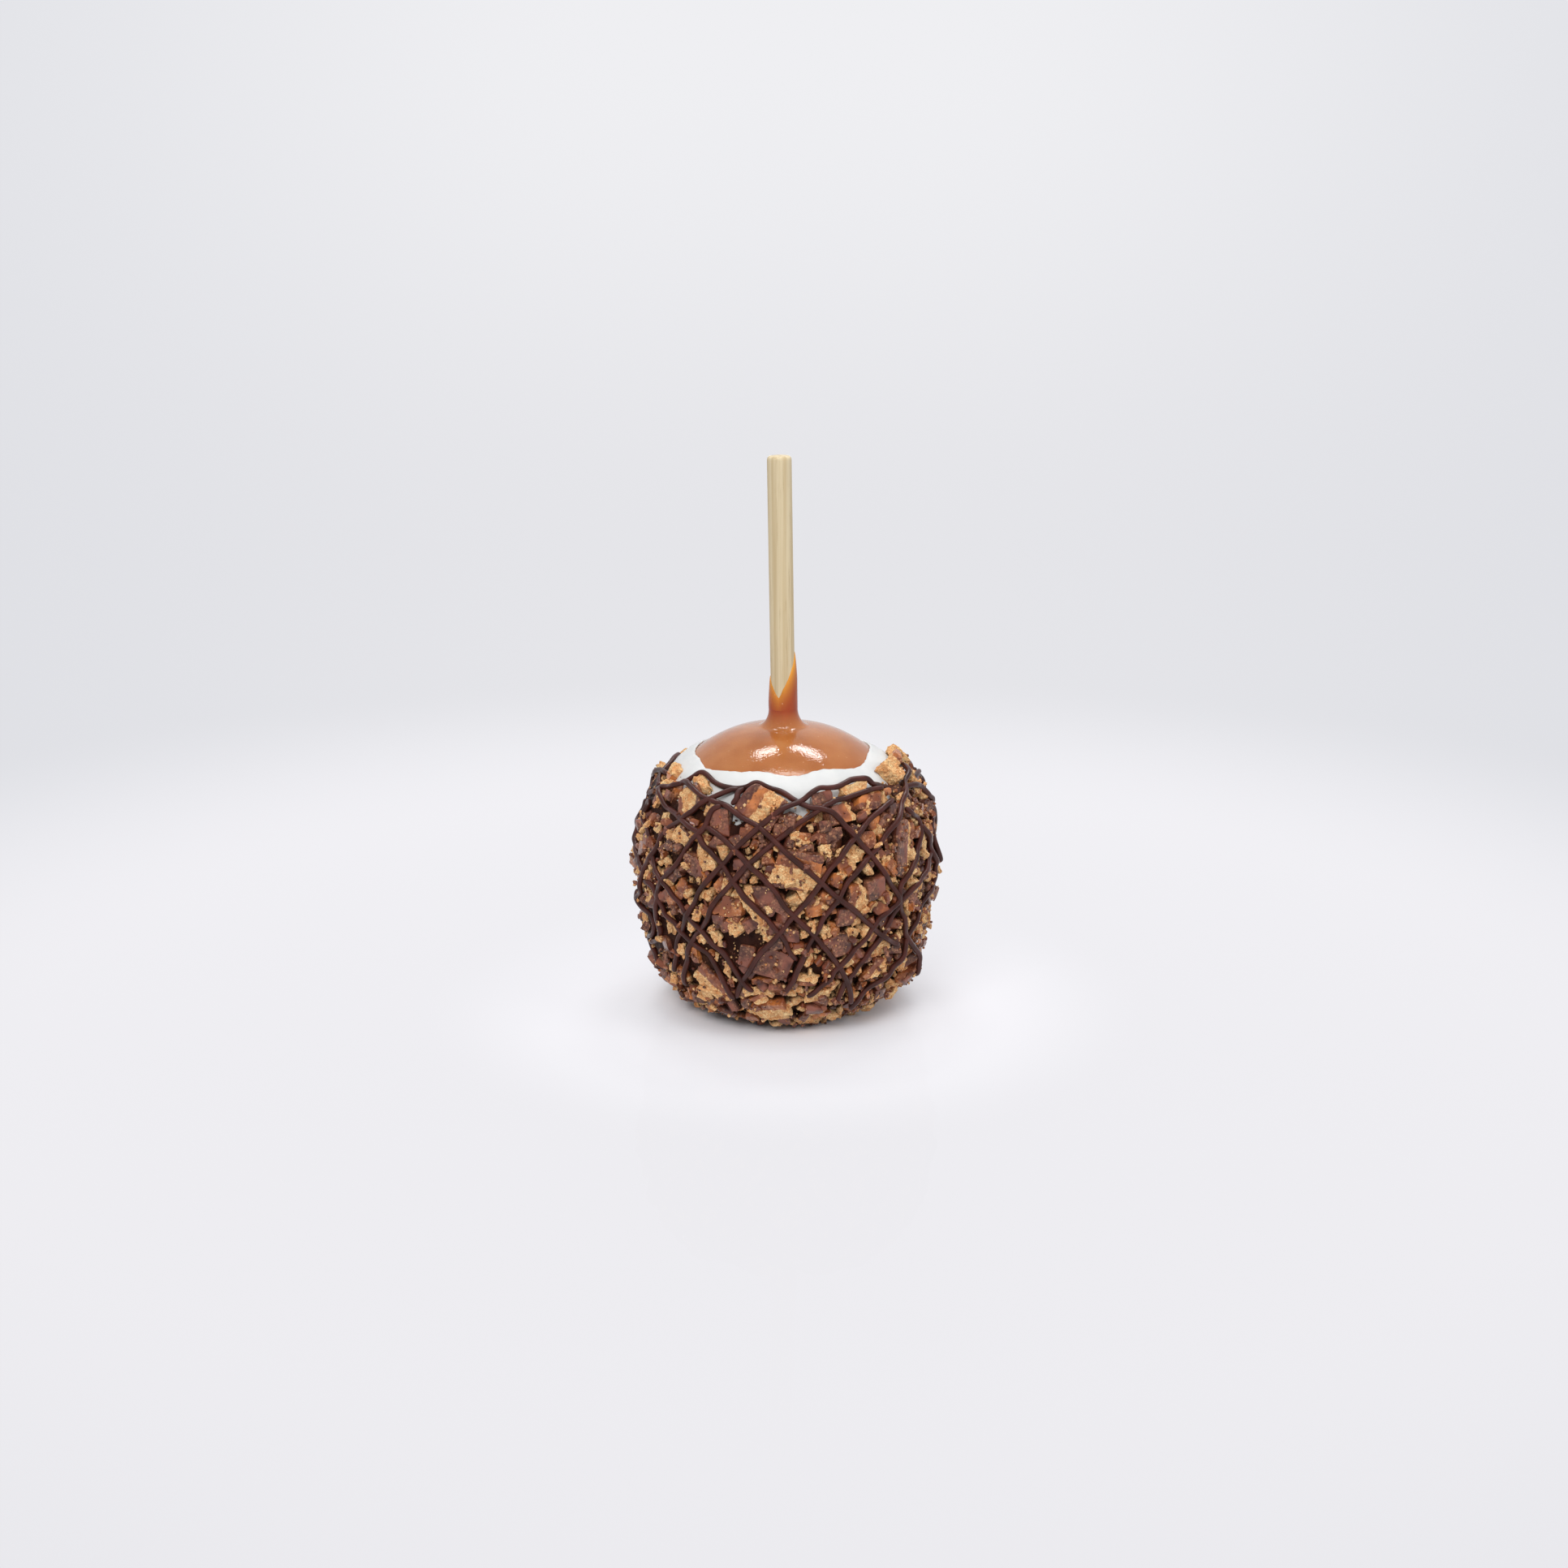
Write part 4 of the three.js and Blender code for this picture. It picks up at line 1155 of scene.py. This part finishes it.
def brokenPiece(grid, shape, random):
    # a block with uneven corners, broken faces and a surface that follows its layers
    half = np.array(shape["size"]) / 2 * chop["grow"]
    points, outward = facetedBlock(grid, half, shape.get("chipShare", chop["chipShare"]), random)
    share = np.zeros(len(grid))
    for corner, value in enumerate(shape["corners"]):
        signs = np.array([1 if corner >> axis & 1 else -1 for axis in range(3)])
        share += value * np.prod((1 + signs * grid) / 2, axis=1)
    points[:, :2] *= share[:, None]
    slopes = [random.uniform(-chop["wedge"], chop["wedge"]) for _ in range(2)]
    points[:, 2] += points[:, 0] * slopes[0] + points[:, 1] * slopes[1]

    lay, cut = (shape["lay"], shape["cut"]) if "lay" in shape else randomLay(shape["size"], random)
    lay = np.array(lay)
    acrossAxis = np.array((0, 0, 1)) if lay[2] == 0 else np.array((1, 0, 0))
    alongAxis = np.cross(lay, acrossAxis)
    acrossExtent = abs(half @ acrossAxis)
    inner = bar["halfWidth"] - acrossExtent
    isSkinned = "lay" not in shape and random.random() < chop["skinChance"]
    acrossMiddle = inner if isSkinned else random.uniform(-inner, inner) * 0.8
    # where each point lies in the bar: across it, how deep under the crust's crest, which sets its painted
    # shade, and its height
    depth = crestAt(shape["elevation"], shape["azimuth"]) - shape["out"] - points[:, 2]
    # a piece out on the white coat gets none of the painted shade of the gaps
    toEdge = crustEdge(shape["azimuth"]) - bed["belowRim"] - shape["elevation"]
    depth *= min(max(toEdge / chop["gapShadeFade"], 0), 1)
    place = np.stack([points @ acrossAxis + acrossMiddle, depth, points @ lay + cut], axis=1)

    offset = Vector(random.uniform(-50, 50, 3))
    for i, point in enumerate(points):
        spot = Vector(point) + offset
        place[i, 2] += bar["wobble"] * noise.noise(spot * 0.5)
        kind = kindAt(place[i, 2], abs(place[i, 0]))
        jitter = np.array(noise.noise_vector(spot * 1.6)) * brokenFaces[kind]["jitter"]
        points[i] += outward[i] * swellOf(kind, spot) + jitter
    return moved(points, settingOf(shape)), place


def makePieces(name, shapes, cuts, seed):
    random = np.random.default_rng(seed)
    grid, faces = gridCube(cuts)
    copies, places = zip(*(brokenPiece(grid, shape, random) for shape in shapes))
    mesh = joinedMesh(name, copies, places, [faces] * len(copies))
    piece = newPiece(name, mesh, choppedBar, "candy_crust")
    mesh.set_sharp_from_angle(angle=math.radians(chop["crispAngle"]))
    return piece


allPieces = choppedPieces()
bigPieces = [{**shape, "chipShare": heroChipShare} for shape in allPieces[:len(heroes)]]
barBlocks = makePieces("barBlocks", bigPieces, heroCuts, 31)
barFront = makePieces("barFront", placedFront(), frontCuts, 33)
barPieces = makePieces("barPieces", allPieces[len(heroes):], chop["cuts"], 32)


# what lies between and on the pieces, from large to small
shards = {
    "tries": 24000,
    "most": 1000,
    "seed": 61,
    "size": (2.6, 5.8),
    "sizePower": 1.3,
    "widthShare": (0.55, 0.95),
    "thicknessShare": (0.5, 0.8),
    "fromBare": 0.4,  # share of its length that one keeps from a bare spot
    "cuts": 3,
    "belowCrest": 0.9,  # only where the ground is this far down
    "top": (0.1, 0.9),  # how far their tops may stand over the crest
    "apart": 0.3,
    "belowEdge": 6,  # degrees from the crust's edge
    "tilt": 34,
    "kinds": {"biscuit": 0.32, "caramel": 0.18, "chocolate": 0.34, "stripes": 0.16},
}
bits = {
    "tries": 4500,
    "most": 1000,
    "seed": 41,
    "size": (1.3, 3),
    "sizePower": 1.5,
    "widthShare": (0.4, 0.85),
    "thicknessShare": (0.3, 0.55),
    "rough": 0.34,
    "roughScale": 1.5,
    "raised": 0.22,  # share of the size that its middle stands over the ground
    "cuts": 3,
    "roundness": 14,
    "belowCrest": 0.8,
    "onTop": 0.12,  # how often one stays that falls where the ground is higher
    "belowEdge": 6,
    "kinds": {"biscuit": 0.32, "sandy": 0.18, "caramel": 0.14, "chocolate": 0.36},
}
crumbs = {
    "count": 5400,
    "seed": 42,
    "size": (0.32, 1.4),
    "sizePower": 2.6,
    "widthShare": (0.6, 1),
    "thicknessShare": 0.8,
    "uneven": (0.6, 1.15),
    "raised": 0.22,
    "fromBare": 0.3,
    "deepest": 2,  # deeper under the crest than this their painted shade grows no darker
    "scatter": (-2, 5),  # degrees down and up, so that some lie past the crust's edge
    "belowEdge": 7,
    "thinsOut": (0.6, 0.06),  # how often one is left out past that, and how much more for each degree
    "gapFrom": 1.5,  # further under the crest than this is a gap
    "inGap": 0.4,  # how often one that falls there stays
    "patchScale": 0.26,
    "patchFrom": 0.1,
    "onPatch": 0.6,
    "offPatch": 0.06,
    "kinds": {"biscuit": 0.2, "sandy": 0.4, "chocolate": 0.4},
}
kindHeights = {"biscuit": (1.6, 5.4), "sandy": (5.4, 6.1), "caramel": (6.3, 8), "chocolate": (9.4, 10)}


def treeOf(piece):
    shape = bmesh.new()
    shape.from_mesh(piece.data)
    tree = BVHTree.FromBMesh(shape)
    shape.free()
    return tree


def groundAt(trees, azimuth, elevation):
    # how far out the surface reaches at a place, in millimetres, and its normal
    reachFrom = 16
    start = onSide(azimuth, elevation, reachFrom) * metres
    inward = -outwardAt(azimuth, elevation)
    nearest = None
    for tree in trees:
        _, normal, _, distance = tree.ray_cast(start, inward, reachFrom * metres)
        if distance is not None and (nearest is None or distance < nearest[0]):
            nearest = (distance, normal)
    if nearest is None:
        return 0, outwardAt(azimuth, elevation)
    return reachFrom - nearest[0] / metres, nearest[1]


def drawnKind(kinds, random):
    return random.choice(list(kinds), p=list(kinds.values()))


def shardShapes():
    # broken pieces that lie in the gaps with their tops near the crest
    random = np.random.default_rng(shards["seed"])
    trees = [treeOf(piece) for piece in (crustBed, barBlocks, barFront, barPieces)]
    smallest, largest = shards["size"]
    shapes, middles = [], []
    for _ in range(shards["tries"]):
        azimuth = random.uniform(-180, 180)
        elevation = elevationByArea(random.random())
        length = smallest + (largest - smallest) * random.random() ** shards["sizePower"]
        if len(shapes) == shards["most"] or elevation > crustEdge(azimuth) - shards["belowEdge"]:
            continue
        ground = groundAt(trees, azimuth, elevation)[0] - crustOut
        crest = crestAt(elevation, azimuth)
        isFull = ground > crest - shards["belowCrest"]
        if isFull or isBare(azimuth, elevation, length * shards["fromBare"]):
            continue
        width = length * random.uniform(*shards["widthShare"])
        thickness = length * random.uniform(*shards["thicknessShare"])
        out = min(ground + thickness / 2, crest + random.uniform(*shards["top"]) - thickness / 2)
        middle = onSide(azimuth, elevation, crustOut + out)
        isCrowded = any(
            (middle - other).length < (length + otherLength) * shards["apart"]
            for other, otherLength in middles
        )
        if isCrowded:
            continue
        middles.append((middle, length))
        shapes.append({
            "azimuth": azimuth, "elevation": elevation, "size": (length, width, thickness),
            "spin": random.uniform(0, 360),
            "tilt": random.uniform(-shards["tilt"], shards["tilt"], 2), "out": out,
            "corners": cornersFor(random), **layOf(drawnKind(shards["kinds"], random), thickness),
        })
    return shapes


def drawnHeight(kinds, random):
    return random.uniform(*kindHeights[drawnKind(kinds, random)])


def anyTurn(random):
    return np.array(Euler(random.uniform(0, math.tau, 3)).to_matrix())


def makeBits():
    random = np.random.default_rng(bits["seed"])
    trees = [treeOf(piece) for piece in (crustBed, barBlocks, barFront, barPieces, barShards)]
    grid, faces = gridCube(bits["cuts"])
    rounded = grid / (np.abs(grid) ** bits["roundness"]).sum(1, keepdims=True) ** (1 / bits["roundness"])
    copies, places = [], []
    smallest, largest = bits["size"]
    for _ in range(bits["tries"]):
        azimuth = random.uniform(-180, 180)
        elevation = elevationByArea(random.random())
        size = smallest + (largest - smallest) * random.random() ** bits["sizePower"]
        ground, _ = groundAt(trees, azimuth, elevation)
        sunk = crustOut + crestAt(elevation, azimuth) - ground
        isOverEdge = elevation > crustEdge(azimuth) - bits["belowEdge"]
        isOnTop = sunk < bits["belowCrest"] and random.random() > bits["onTop"]
        isLeftOut = isOverEdge or isOnTop or isBare(azimuth, elevation, size / 2)
        if len(copies) == bits["most"] or isLeftOut:
            continue
        widthShare = random.uniform(*bits["widthShare"])
        thicknessShare = random.uniform(*bits["thicknessShare"])
        points = rounded * (size / 2 * np.array((1, widthShare, thicknessShare)))
        offset = Vector(random.uniform(-50, 50, 3))
        spots = [Vector(point) * bits["roughScale"] + offset for point in points]
        points += [bits["rough"] * noise.noise_vector(spot) for spot in spots]
        height = drawnHeight(bits["kinds"], random)
        # how far the bit lies under the crest sets its painted shade
        places.append(np.tile((0, sunk - size * 0.4, height), (len(points), 1)))
        middle = np.array(onSide(azimuth, elevation, ground + size * bits["raised"]))
        copies.append(points @ anyTurn(random).T + middle)
    mesh = joinedMesh("barBits", copies, places, [faces] * len(copies))
    piece = newPiece("barBits", mesh, choppedBar, "candy_crust")
    mesh.set_sharp_from_angle(angle=math.radians(chop["crispAngle"]))
    return piece


def crumbChance(azimuth, elevation, sunk):
    # crumbs lie thick in some patches and thin in others
    if sunk > crumbs["gapFrom"]:
        return crumbs["inGap"]
    isPatch = noise.noise(onSide(azimuth, elevation, 0) * crumbs["patchScale"]) > crumbs["patchFrom"]
    return crumbs["onPatch"] if isPatch else crumbs["offPatch"]


def makeCrumbs():
    random = np.random.default_rng(crumbs["seed"])
    trees = [
        treeOf(piece) for piece in (whiteCoat, crustBed, barBlocks, barFront, barPieces, barShards, barBits)
    ]
    shape = bmesh.new()
    bmesh.ops.create_icosphere(shape, subdivisions=1, radius=1)
    ball, faces = cornersAndFaces(shape)
    copies, places = [], []
    smallest, largest = crumbs["size"]
    thins, more = crumbs["thinsOut"]
    while len(copies) < crumbs["count"]:
        azimuth = random.uniform(-180, 180)
        elevation = elevationByArea(random.random()) + random.uniform(*crumbs["scatter"])
        beyond = elevation - (crustEdge(azimuth) - crumbs["belowEdge"])
        isTooHigh = beyond > 0 and random.random() < thins + beyond * more
        if isTooHigh or isBare(azimuth, elevation, crumbs["fromBare"]):
            continue
        size = smallest + (largest - smallest) * random.random() ** crumbs["sizePower"]
        ground, normal = groundAt(trees, azimuth, elevation)
        sunk = crustOut + crestAt(elevation, azimuth) - ground
        if beyond < 0 and random.random() > crumbChance(azimuth, elevation, sunk):
            continue
        middle = onSide(azimuth, elevation, ground) + normal * size * crumbs["raised"]
        points = ball * random.uniform(*crumbs["uneven"], (len(ball), 1)) * size / 2
        points = points * (1, random.uniform(*crumbs["widthShare"]), crumbs["thicknessShare"])
        height = drawnHeight(crumbs["kinds"], random)
        copies.append(points @ anyTurn(random).T + np.array(middle))
        # how far a crumb lies under the crest sets its painted shade; past the crust's edge it has none
        depth = min(sunk, crumbs["deepest"]) if beyond < 0 else 0
        places.append(np.tile((0, depth, height), (len(ball), 1)))
    mesh = joinedMesh("crumbs", copies, places, [faces] * len(copies))
    return newPiece("crumbs", mesh, choppedBar, "candy_crust")


barShards = makePieces("barShards", shardShapes(), shards["cuts"], 34)
barBits = makeBits()
makeCrumbs()


# the drizzle: how thick its lines are, how they lie over the pieces, and where they run
drizzle = {
    "radius": (0.66, 0.82),
    "step": 0.45,
    "sink": 0.5,  # share of the radius between the lumps' tops and the line's middle
    "sag": 0.3,  # how steeply a line leaves one lump on its way to the next
    "soften": 2.6,
    "beside": 0.65,  # the ground is felt this far to either side
    "dip": 0.35,
    "sway": 0.22,
    "swayScale": 0.2,
    "swayAround": 1.6,  # degrees round the apple for a millimetre of sway
    "swayApart": 7.3,  # keeps each line's sway its own
    "swellScale": 0.06,
    "swellApart": 3.1,
    "bluntness": 0.12,
    "taper": 1.1,  # how far from its end a line is at its full thickness
    "cloudScale": 260,
    "waveScale": 600,
    "seed": 5,
    "azimuthScatter": 7,
    "heightScatter": 1.5,
    "backLower": 2.5,
    "colour": linear(72, 33, 26),
    "deep": linear(52, 23, 17),
    "strokes": [  # azimuth and height along each line, from its start to its end
        [
            (-84, 58.5), (-79, 60), (-70, 62.3), (-62, 63.7), (-55, 65.4), (-50, 68.2), (-45.5, 68.8),
            (-38, 67.9), (-31, 67.4), (-23, 67.2), (-18, 67.5), (-13.7, 68.5), (-8, 68), (-3, 67.3),
            (0.6, 66.3), (7, 64), (11, 62.8), (15.6, 62.2), (19, 61.3), (22, 59.7), (26.8, 55.8),
            (33.5, 50.5), (38.7, 44.9), (44.4, 39), (47.3, 35.2), (49.4, 32.5), (51.5, 28.8),
            (53.6, 25.9), (57.5, 22.4), (62, 19), (64, 15.6), (65, 13.5),
        ],
        [
            (-57, 65), (-52.5, 65.8), (-43.6, 64.9), (-37.6, 63.9), (-32, 63.3), (-26, 62.7), (-17.3, 60.4),
            (-9.3, 58.3), (-5.6, 56.6), (1.5, 52.2), (7.2, 48.8), (13, 45.1), (19.4, 40.8), (26, 36.7),
            (33, 32.2), (39.8, 27.9), (44.5, 25.6), (48, 24.4),
        ],
        [
            (75, 64), (65, 63.2), (57.6, 64.4), (49.5, 65.4), (44, 66), (42.4, 66.9), (38.5, 67.5),
            (34, 67.8), (29.7, 67.2), (25, 66.6), (20.4, 66.5), (16.6, 66.7), (13.4, 65.9), (8.3, 64.4),
            (0, 62.4), (-7.4, 59.5), (-12.8, 56.5), (-18, 53.1), (-22.5, 49.2), (-27.9, 44.7), (-32.2, 41),
            (-34.2, 38), (-37.2, 34.6), (-39.8, 31.5), (-42.6, 28.5), (-46, 25), (-47.5, 21.2),
            (-49, 18.2), (-50.5, 15.8),
        ],
        [
            (48.5, 64.5), (41.5, 64.7), (34.2, 64.5), (27.5, 64.1), (22.5, 63.8), (18, 62.9), (14, 61.7),
            (9.3, 60.4), (5.1, 59), (1, 57), (-6.3, 53.4), (-13, 49.2), (-18.2, 45), (-24.5, 39.7),
            (-27, 37), (-28.2, 34.7), (-31, 31.8), (-35.6, 28.1), (-38.3, 25.3), (-40.5, 22), (-43, 17.7),
            (-46, 12.3),
        ],
        [
            (-69, 62.2), (-63, 60.6), (-59, 59.2), (-53.5, 58.7), (-47.7, 58.2), (-43, 57.4), (-38, 56.3),
            (-34.4, 55.8), (-31.6, 57), (-27, 56.1), (-19.7, 53.2), (-13.7, 50), (-8.4, 46.8), (-3, 43.2),
            (0.7, 38.9), (5.8, 35), (11.2, 30.7), (17.5, 25.5), (22.6, 20.6), (24.8, 17.6), (27.3, 14.4),
            (29, 10.5),
        ],
        [
            (-34, 55.2), (-31.5, 53), (-28.3, 51.4), (-22.7, 48.3), (-17.8, 44.6), (-13, 40.8), (-8.2, 37.2),
            (-3.8, 33.7), (0.6, 29.5), (2.6, 26.6), (5, 24.3),
        ],
        [
            (-80, 57.5), (-73, 56.5), (-75, 53.5), (-69.4, 51), (-65, 49.2), (-60.7, 46.8), (-54.5, 42.7),
            (-47.8, 40.2), (-45.3, 37.8), (-41.6, 35.9), (-35.3, 32), (-29.3, 28.2), (-23.7, 25.1),
            (-20, 21.1), (-15, 17), (-12, 15.3),
        ],
        [
            (-26.8, 62.4), (-29.7, 61.5), (-31.2, 59.4), (-32, 57), (-37, 53.4), (-40, 50.7), (-43.6, 45.9),
            (-47.5, 43.2), (-50.3, 41), (-53, 38.8), (-54.6, 36), (-56.6, 31.9), (-58.2, 28.4), (-57.4, 25.3),
            (-61, 22.7), (-69, 20.4), (-76, 19),
        ],
        [
            (-65, 38.5), (-59.5, 38.5), (-56.3, 36.8), (-52, 32), (-45.6, 30), (-43.2, 28.2), (-36.6, 25.7),
            (-30, 22.9), (-26, 18.5), (-22, 14.4), (-20, 12.8),
        ],
        [
            (-19, 66.9), (-25, 66.6), (-29, 65.5), (-36, 62.6), (-42.6, 58.7), (-46, 57.1), (-52, 54.7),
            (-55.8, 52.3), (-59.3, 47), (-64.7, 42), (-66, 39), (-67, 36), (-72, 33), (-79, 30),
        ],
        [(-19, 67), (-20.6, 65.6), (-20.5, 64.1), (-22.5, 63)],
        [
            (51.5, 61.5), (47, 60.9), (41.4, 59.7), (32.8, 57.2), (25.6, 53.8), (19, 49.7), (13.4, 45.4),
            (8.7, 40.8), (2.8, 36), (-2.3, 31), (-8.3, 26.3), (-13, 20.9), (-18, 15.5), (-19.4, 12.7),
        ],
        [
            (92, 66), (82, 65.5), (75, 64.5), (66, 62.7), (59, 61), (54.4, 59.2), (48.5, 56.9), (44, 55),
            (37.7, 51.8), (31, 48.9), (25, 45.1), (19.7, 40.3), (14.4, 35.1), (11, 30.1), (7, 24.7),
            (4, 19.4), (-0.5, 15),
        ],
        [
            (56, 58.8), (59.3, 56.8), (64.6, 54.8), (66, 52.8), (65, 50.6), (61.7, 48.3), (58, 46),
            (53.4, 44.1), (49.7, 42), (46.3, 39.5), (45.5, 36.5), (41.8, 34.7), (38, 33.4), (35, 31.5),
            (30, 27.5), (24.4, 23.9), (19.6, 20.5), (17.8, 18.3), (12.4, 15.1), (9.6, 13.9),
        ],
        [
            (74, 44.6), (71.5, 43.7), (65.6, 41.9), (59.4, 40.3), (54.6, 39), (49.8, 36.7), (46.4, 34.3),
            (43.4, 31.9), (38, 27), (32.2, 22.7), (26.8, 18.9), (24.9, 17.3), (23.9, 14.8), (22.5, 11.3),
        ],
        [
            (66, 53), (69.2, 50), (72.3, 46.8), (74.5, 44.3), (78, 40), (76, 36), (66, 33.5), (61.6, 31.4),
            (58.6, 28.8), (55.8, 26.2), (53, 23.4), (51.3, 20.5), (47.4, 18.7), (43.4, 16.5), (39.4, 14.6),
            (36, 12.6), (33.3, 10.4), (32, 7.5),
        ],
        [(66, 62.9), (73, 62), (80, 60.3), (84, 57.5), (89, 55), (95, 51), (98, 46), (96, 41)],
        [(-104, 68), (-94, 67), (-86, 64.5), (-75, 62)],
        [(-97, 58), (-91, 51), (-86, 46), (-77, 43.5), (-66, 41)],
        [(-79, 33), (-71, 30), (-65, 28.5), (-63.7, 26), (-66, 23), (-74, 20), (-71, 17.5), (-64, 13.5)],
    ],
}


def allStrokes():
    # the front's strokes, then the same again over the back, mirrored and a little lower
    draw = drawsFrom(drizzle["seed"])
    strokes = list(drizzle["strokes"])
    for stroke in drizzle["strokes"]:
        around = 180 + (2 * draw() - 1) * drizzle["azimuthScatter"]
        raised = (2 * draw() - 1) * drizzle["heightScatter"] - drizzle["backLower"]
        strokes.append([(around - azimuth, height + raised) for azimuth, height in stroke])
    return strokes


def throughPoints(points, step):
    # even steps along a smooth curve through the azimuths and heights
    places = np.array(points, dtype=float)
    spots = [onSide(azimuth, elevationAt(height), crustOut) for azimuth, height in points]
    along = np.array([0, *np.cumsum([math.dist(here, there) for here, there in zip(spots, spots[1:])])])
    slopes = np.gradient(places, along, axis=0)
    at = np.linspace(0, along[-1], int(along[-1] / step) + 1)
    i = np.clip(np.searchsorted(along, at, side="right") - 1, 0, len(along) - 2)
    span = (along[i + 1] - along[i])[:, None]
    share = (at - along[i])[:, None] / span
    return (
        (1 + 2 * share) * (1 - share) ** 2 * places[i] + share * (1 - share) ** 2 * span * slopes[i]
        + share**2 * (3 - 2 * share) * places[i + 1] + share**2 * (share - 1) * span * slopes[i + 1]
    )


def strokeLine(stroke, trees, offset):
    # the line rests on the lumps below it and sags a little from each one to the next
    step = drizzle["step"]
    places, grounds = [], []
    for i, (azimuth, height) in enumerate(throughPoints(stroke, step)):
        sway = noise.noise_vector(Vector((i * step * drizzle["swayScale"], offset, 0))) * drizzle["sway"]
        places.append((azimuth + sway.x * drizzle["swayAround"], elevationAt(height + sway.y)))
    for i, place in enumerate(places):
        before, after = (onSide(*places[j], crustOut) for j in (max(i - 1, 0), min(i + 1, len(places) - 1)))
        aside = (after - before).cross(outwardAt(*place)).normalized() * drizzle["beside"]
        middle = onSide(*place, crustOut)
        felt = [groundAt(trees, *place)[0]]
        for spot in (middle + aside, middle - aside):
            besideAzimuth = azimuthOf(spot)
            besideElevation = place[1] + math.degrees((spot.z - middle.z) / apple["radius"])
            felt.append(groundAt(trees, besideAzimuth, besideElevation)[0] - drizzle["dip"])
        grounds.append(max(felt))
    outs = np.array(grounds)
    fall = drizzle["sag"] * step
    for i in range(1, len(outs)):
        outs[i] = max(outs[i], outs[i - 1] - fall)
    for i in reversed(range(len(outs) - 1)):
        outs[i] = max(outs[i], outs[i + 1] - fall)
    reach = round(drizzle["soften"] / step / 2)
    window = np.hanning(2 * reach + 3)[1:-1]
    return places, np.convolve(np.pad(outs, reach, mode="edge"), window / window.sum(), mode="valid")


def drizzleMaterial():
    principled = {"Roughness": 0.34, "IOR": 1.45, "Specular IOR Level": 0.35}
    material, tree, shader = newMaterial("darkDrizzle", principled)
    place = objectPlace(tree)
    cloudy = stepBetween(tree, noiseAt(tree, place, drizzle["cloudScale"], detail=2), 0.35, 0.7)
    tree.links.new(mixColours(tree, cloudy, drizzle["colour"], drizzle["deep"]), shader.inputs["Base Color"])
    waves = noiseAt(tree, place, drizzle["waveScale"], detail=2)
    tree.links.new(bumpFrom(tree, waves, 0.0003, 0.3), shader.inputs["Normal"])
    return material


def makeDrizzle():
    trees = [treeOf(piece) for piece in (whiteCoat, crustBed, barBlocks, barFront, barPieces, barShards)]
    curve = bpy.data.curves.new("drizzleLines", "CURVE")
    curve.dimensions = "3D"
    curve.bevel_depth = metres
    curve.bevel_resolution = 2
    curve.use_fill_caps = True
    thin, thick = drizzle["radius"]
    for number, stroke in enumerate(allStrokes()):
        places, outs = strokeLine(stroke, trees, number * drizzle["swayApart"])
        spline = curve.splines.new("POLY")
        spline.points.add(len(places) - 1)
        for i, (place, out) in enumerate(zip(places, outs)):
            spot = Vector((i * drizzle["swellScale"], number * drizzle["swellApart"], 5))
            middle = thin + (thick - thin) * (0.5 + noise.noise(spot))
            fromEnd = min(i, len(places) - 1 - i) * drizzle["step"]
            full = min((fromEnd + drizzle["bluntness"]) / drizzle["taper"], 1)
            radius = middle * math.sqrt(1 - (1 - full) ** 2)
            point = onSide(*place, out + middle * drizzle["sink"])
            point.z = max(point.z, radius)
            spline.points[i].co = (*(point * metres), 1)
            spline.points[i].radius = radius
    lines = bpy.data.objects.new("drizzleLines", curve)
    mesh = bpy.data.meshes.new_from_object(lines)
    mesh.name = "drizzle"
    bpy.data.objects.remove(lines)
    mesh.materials.clear()
    return newPiece("drizzle", mesh, drizzleMaterial(), "candy_crust")


makeDrizzle()
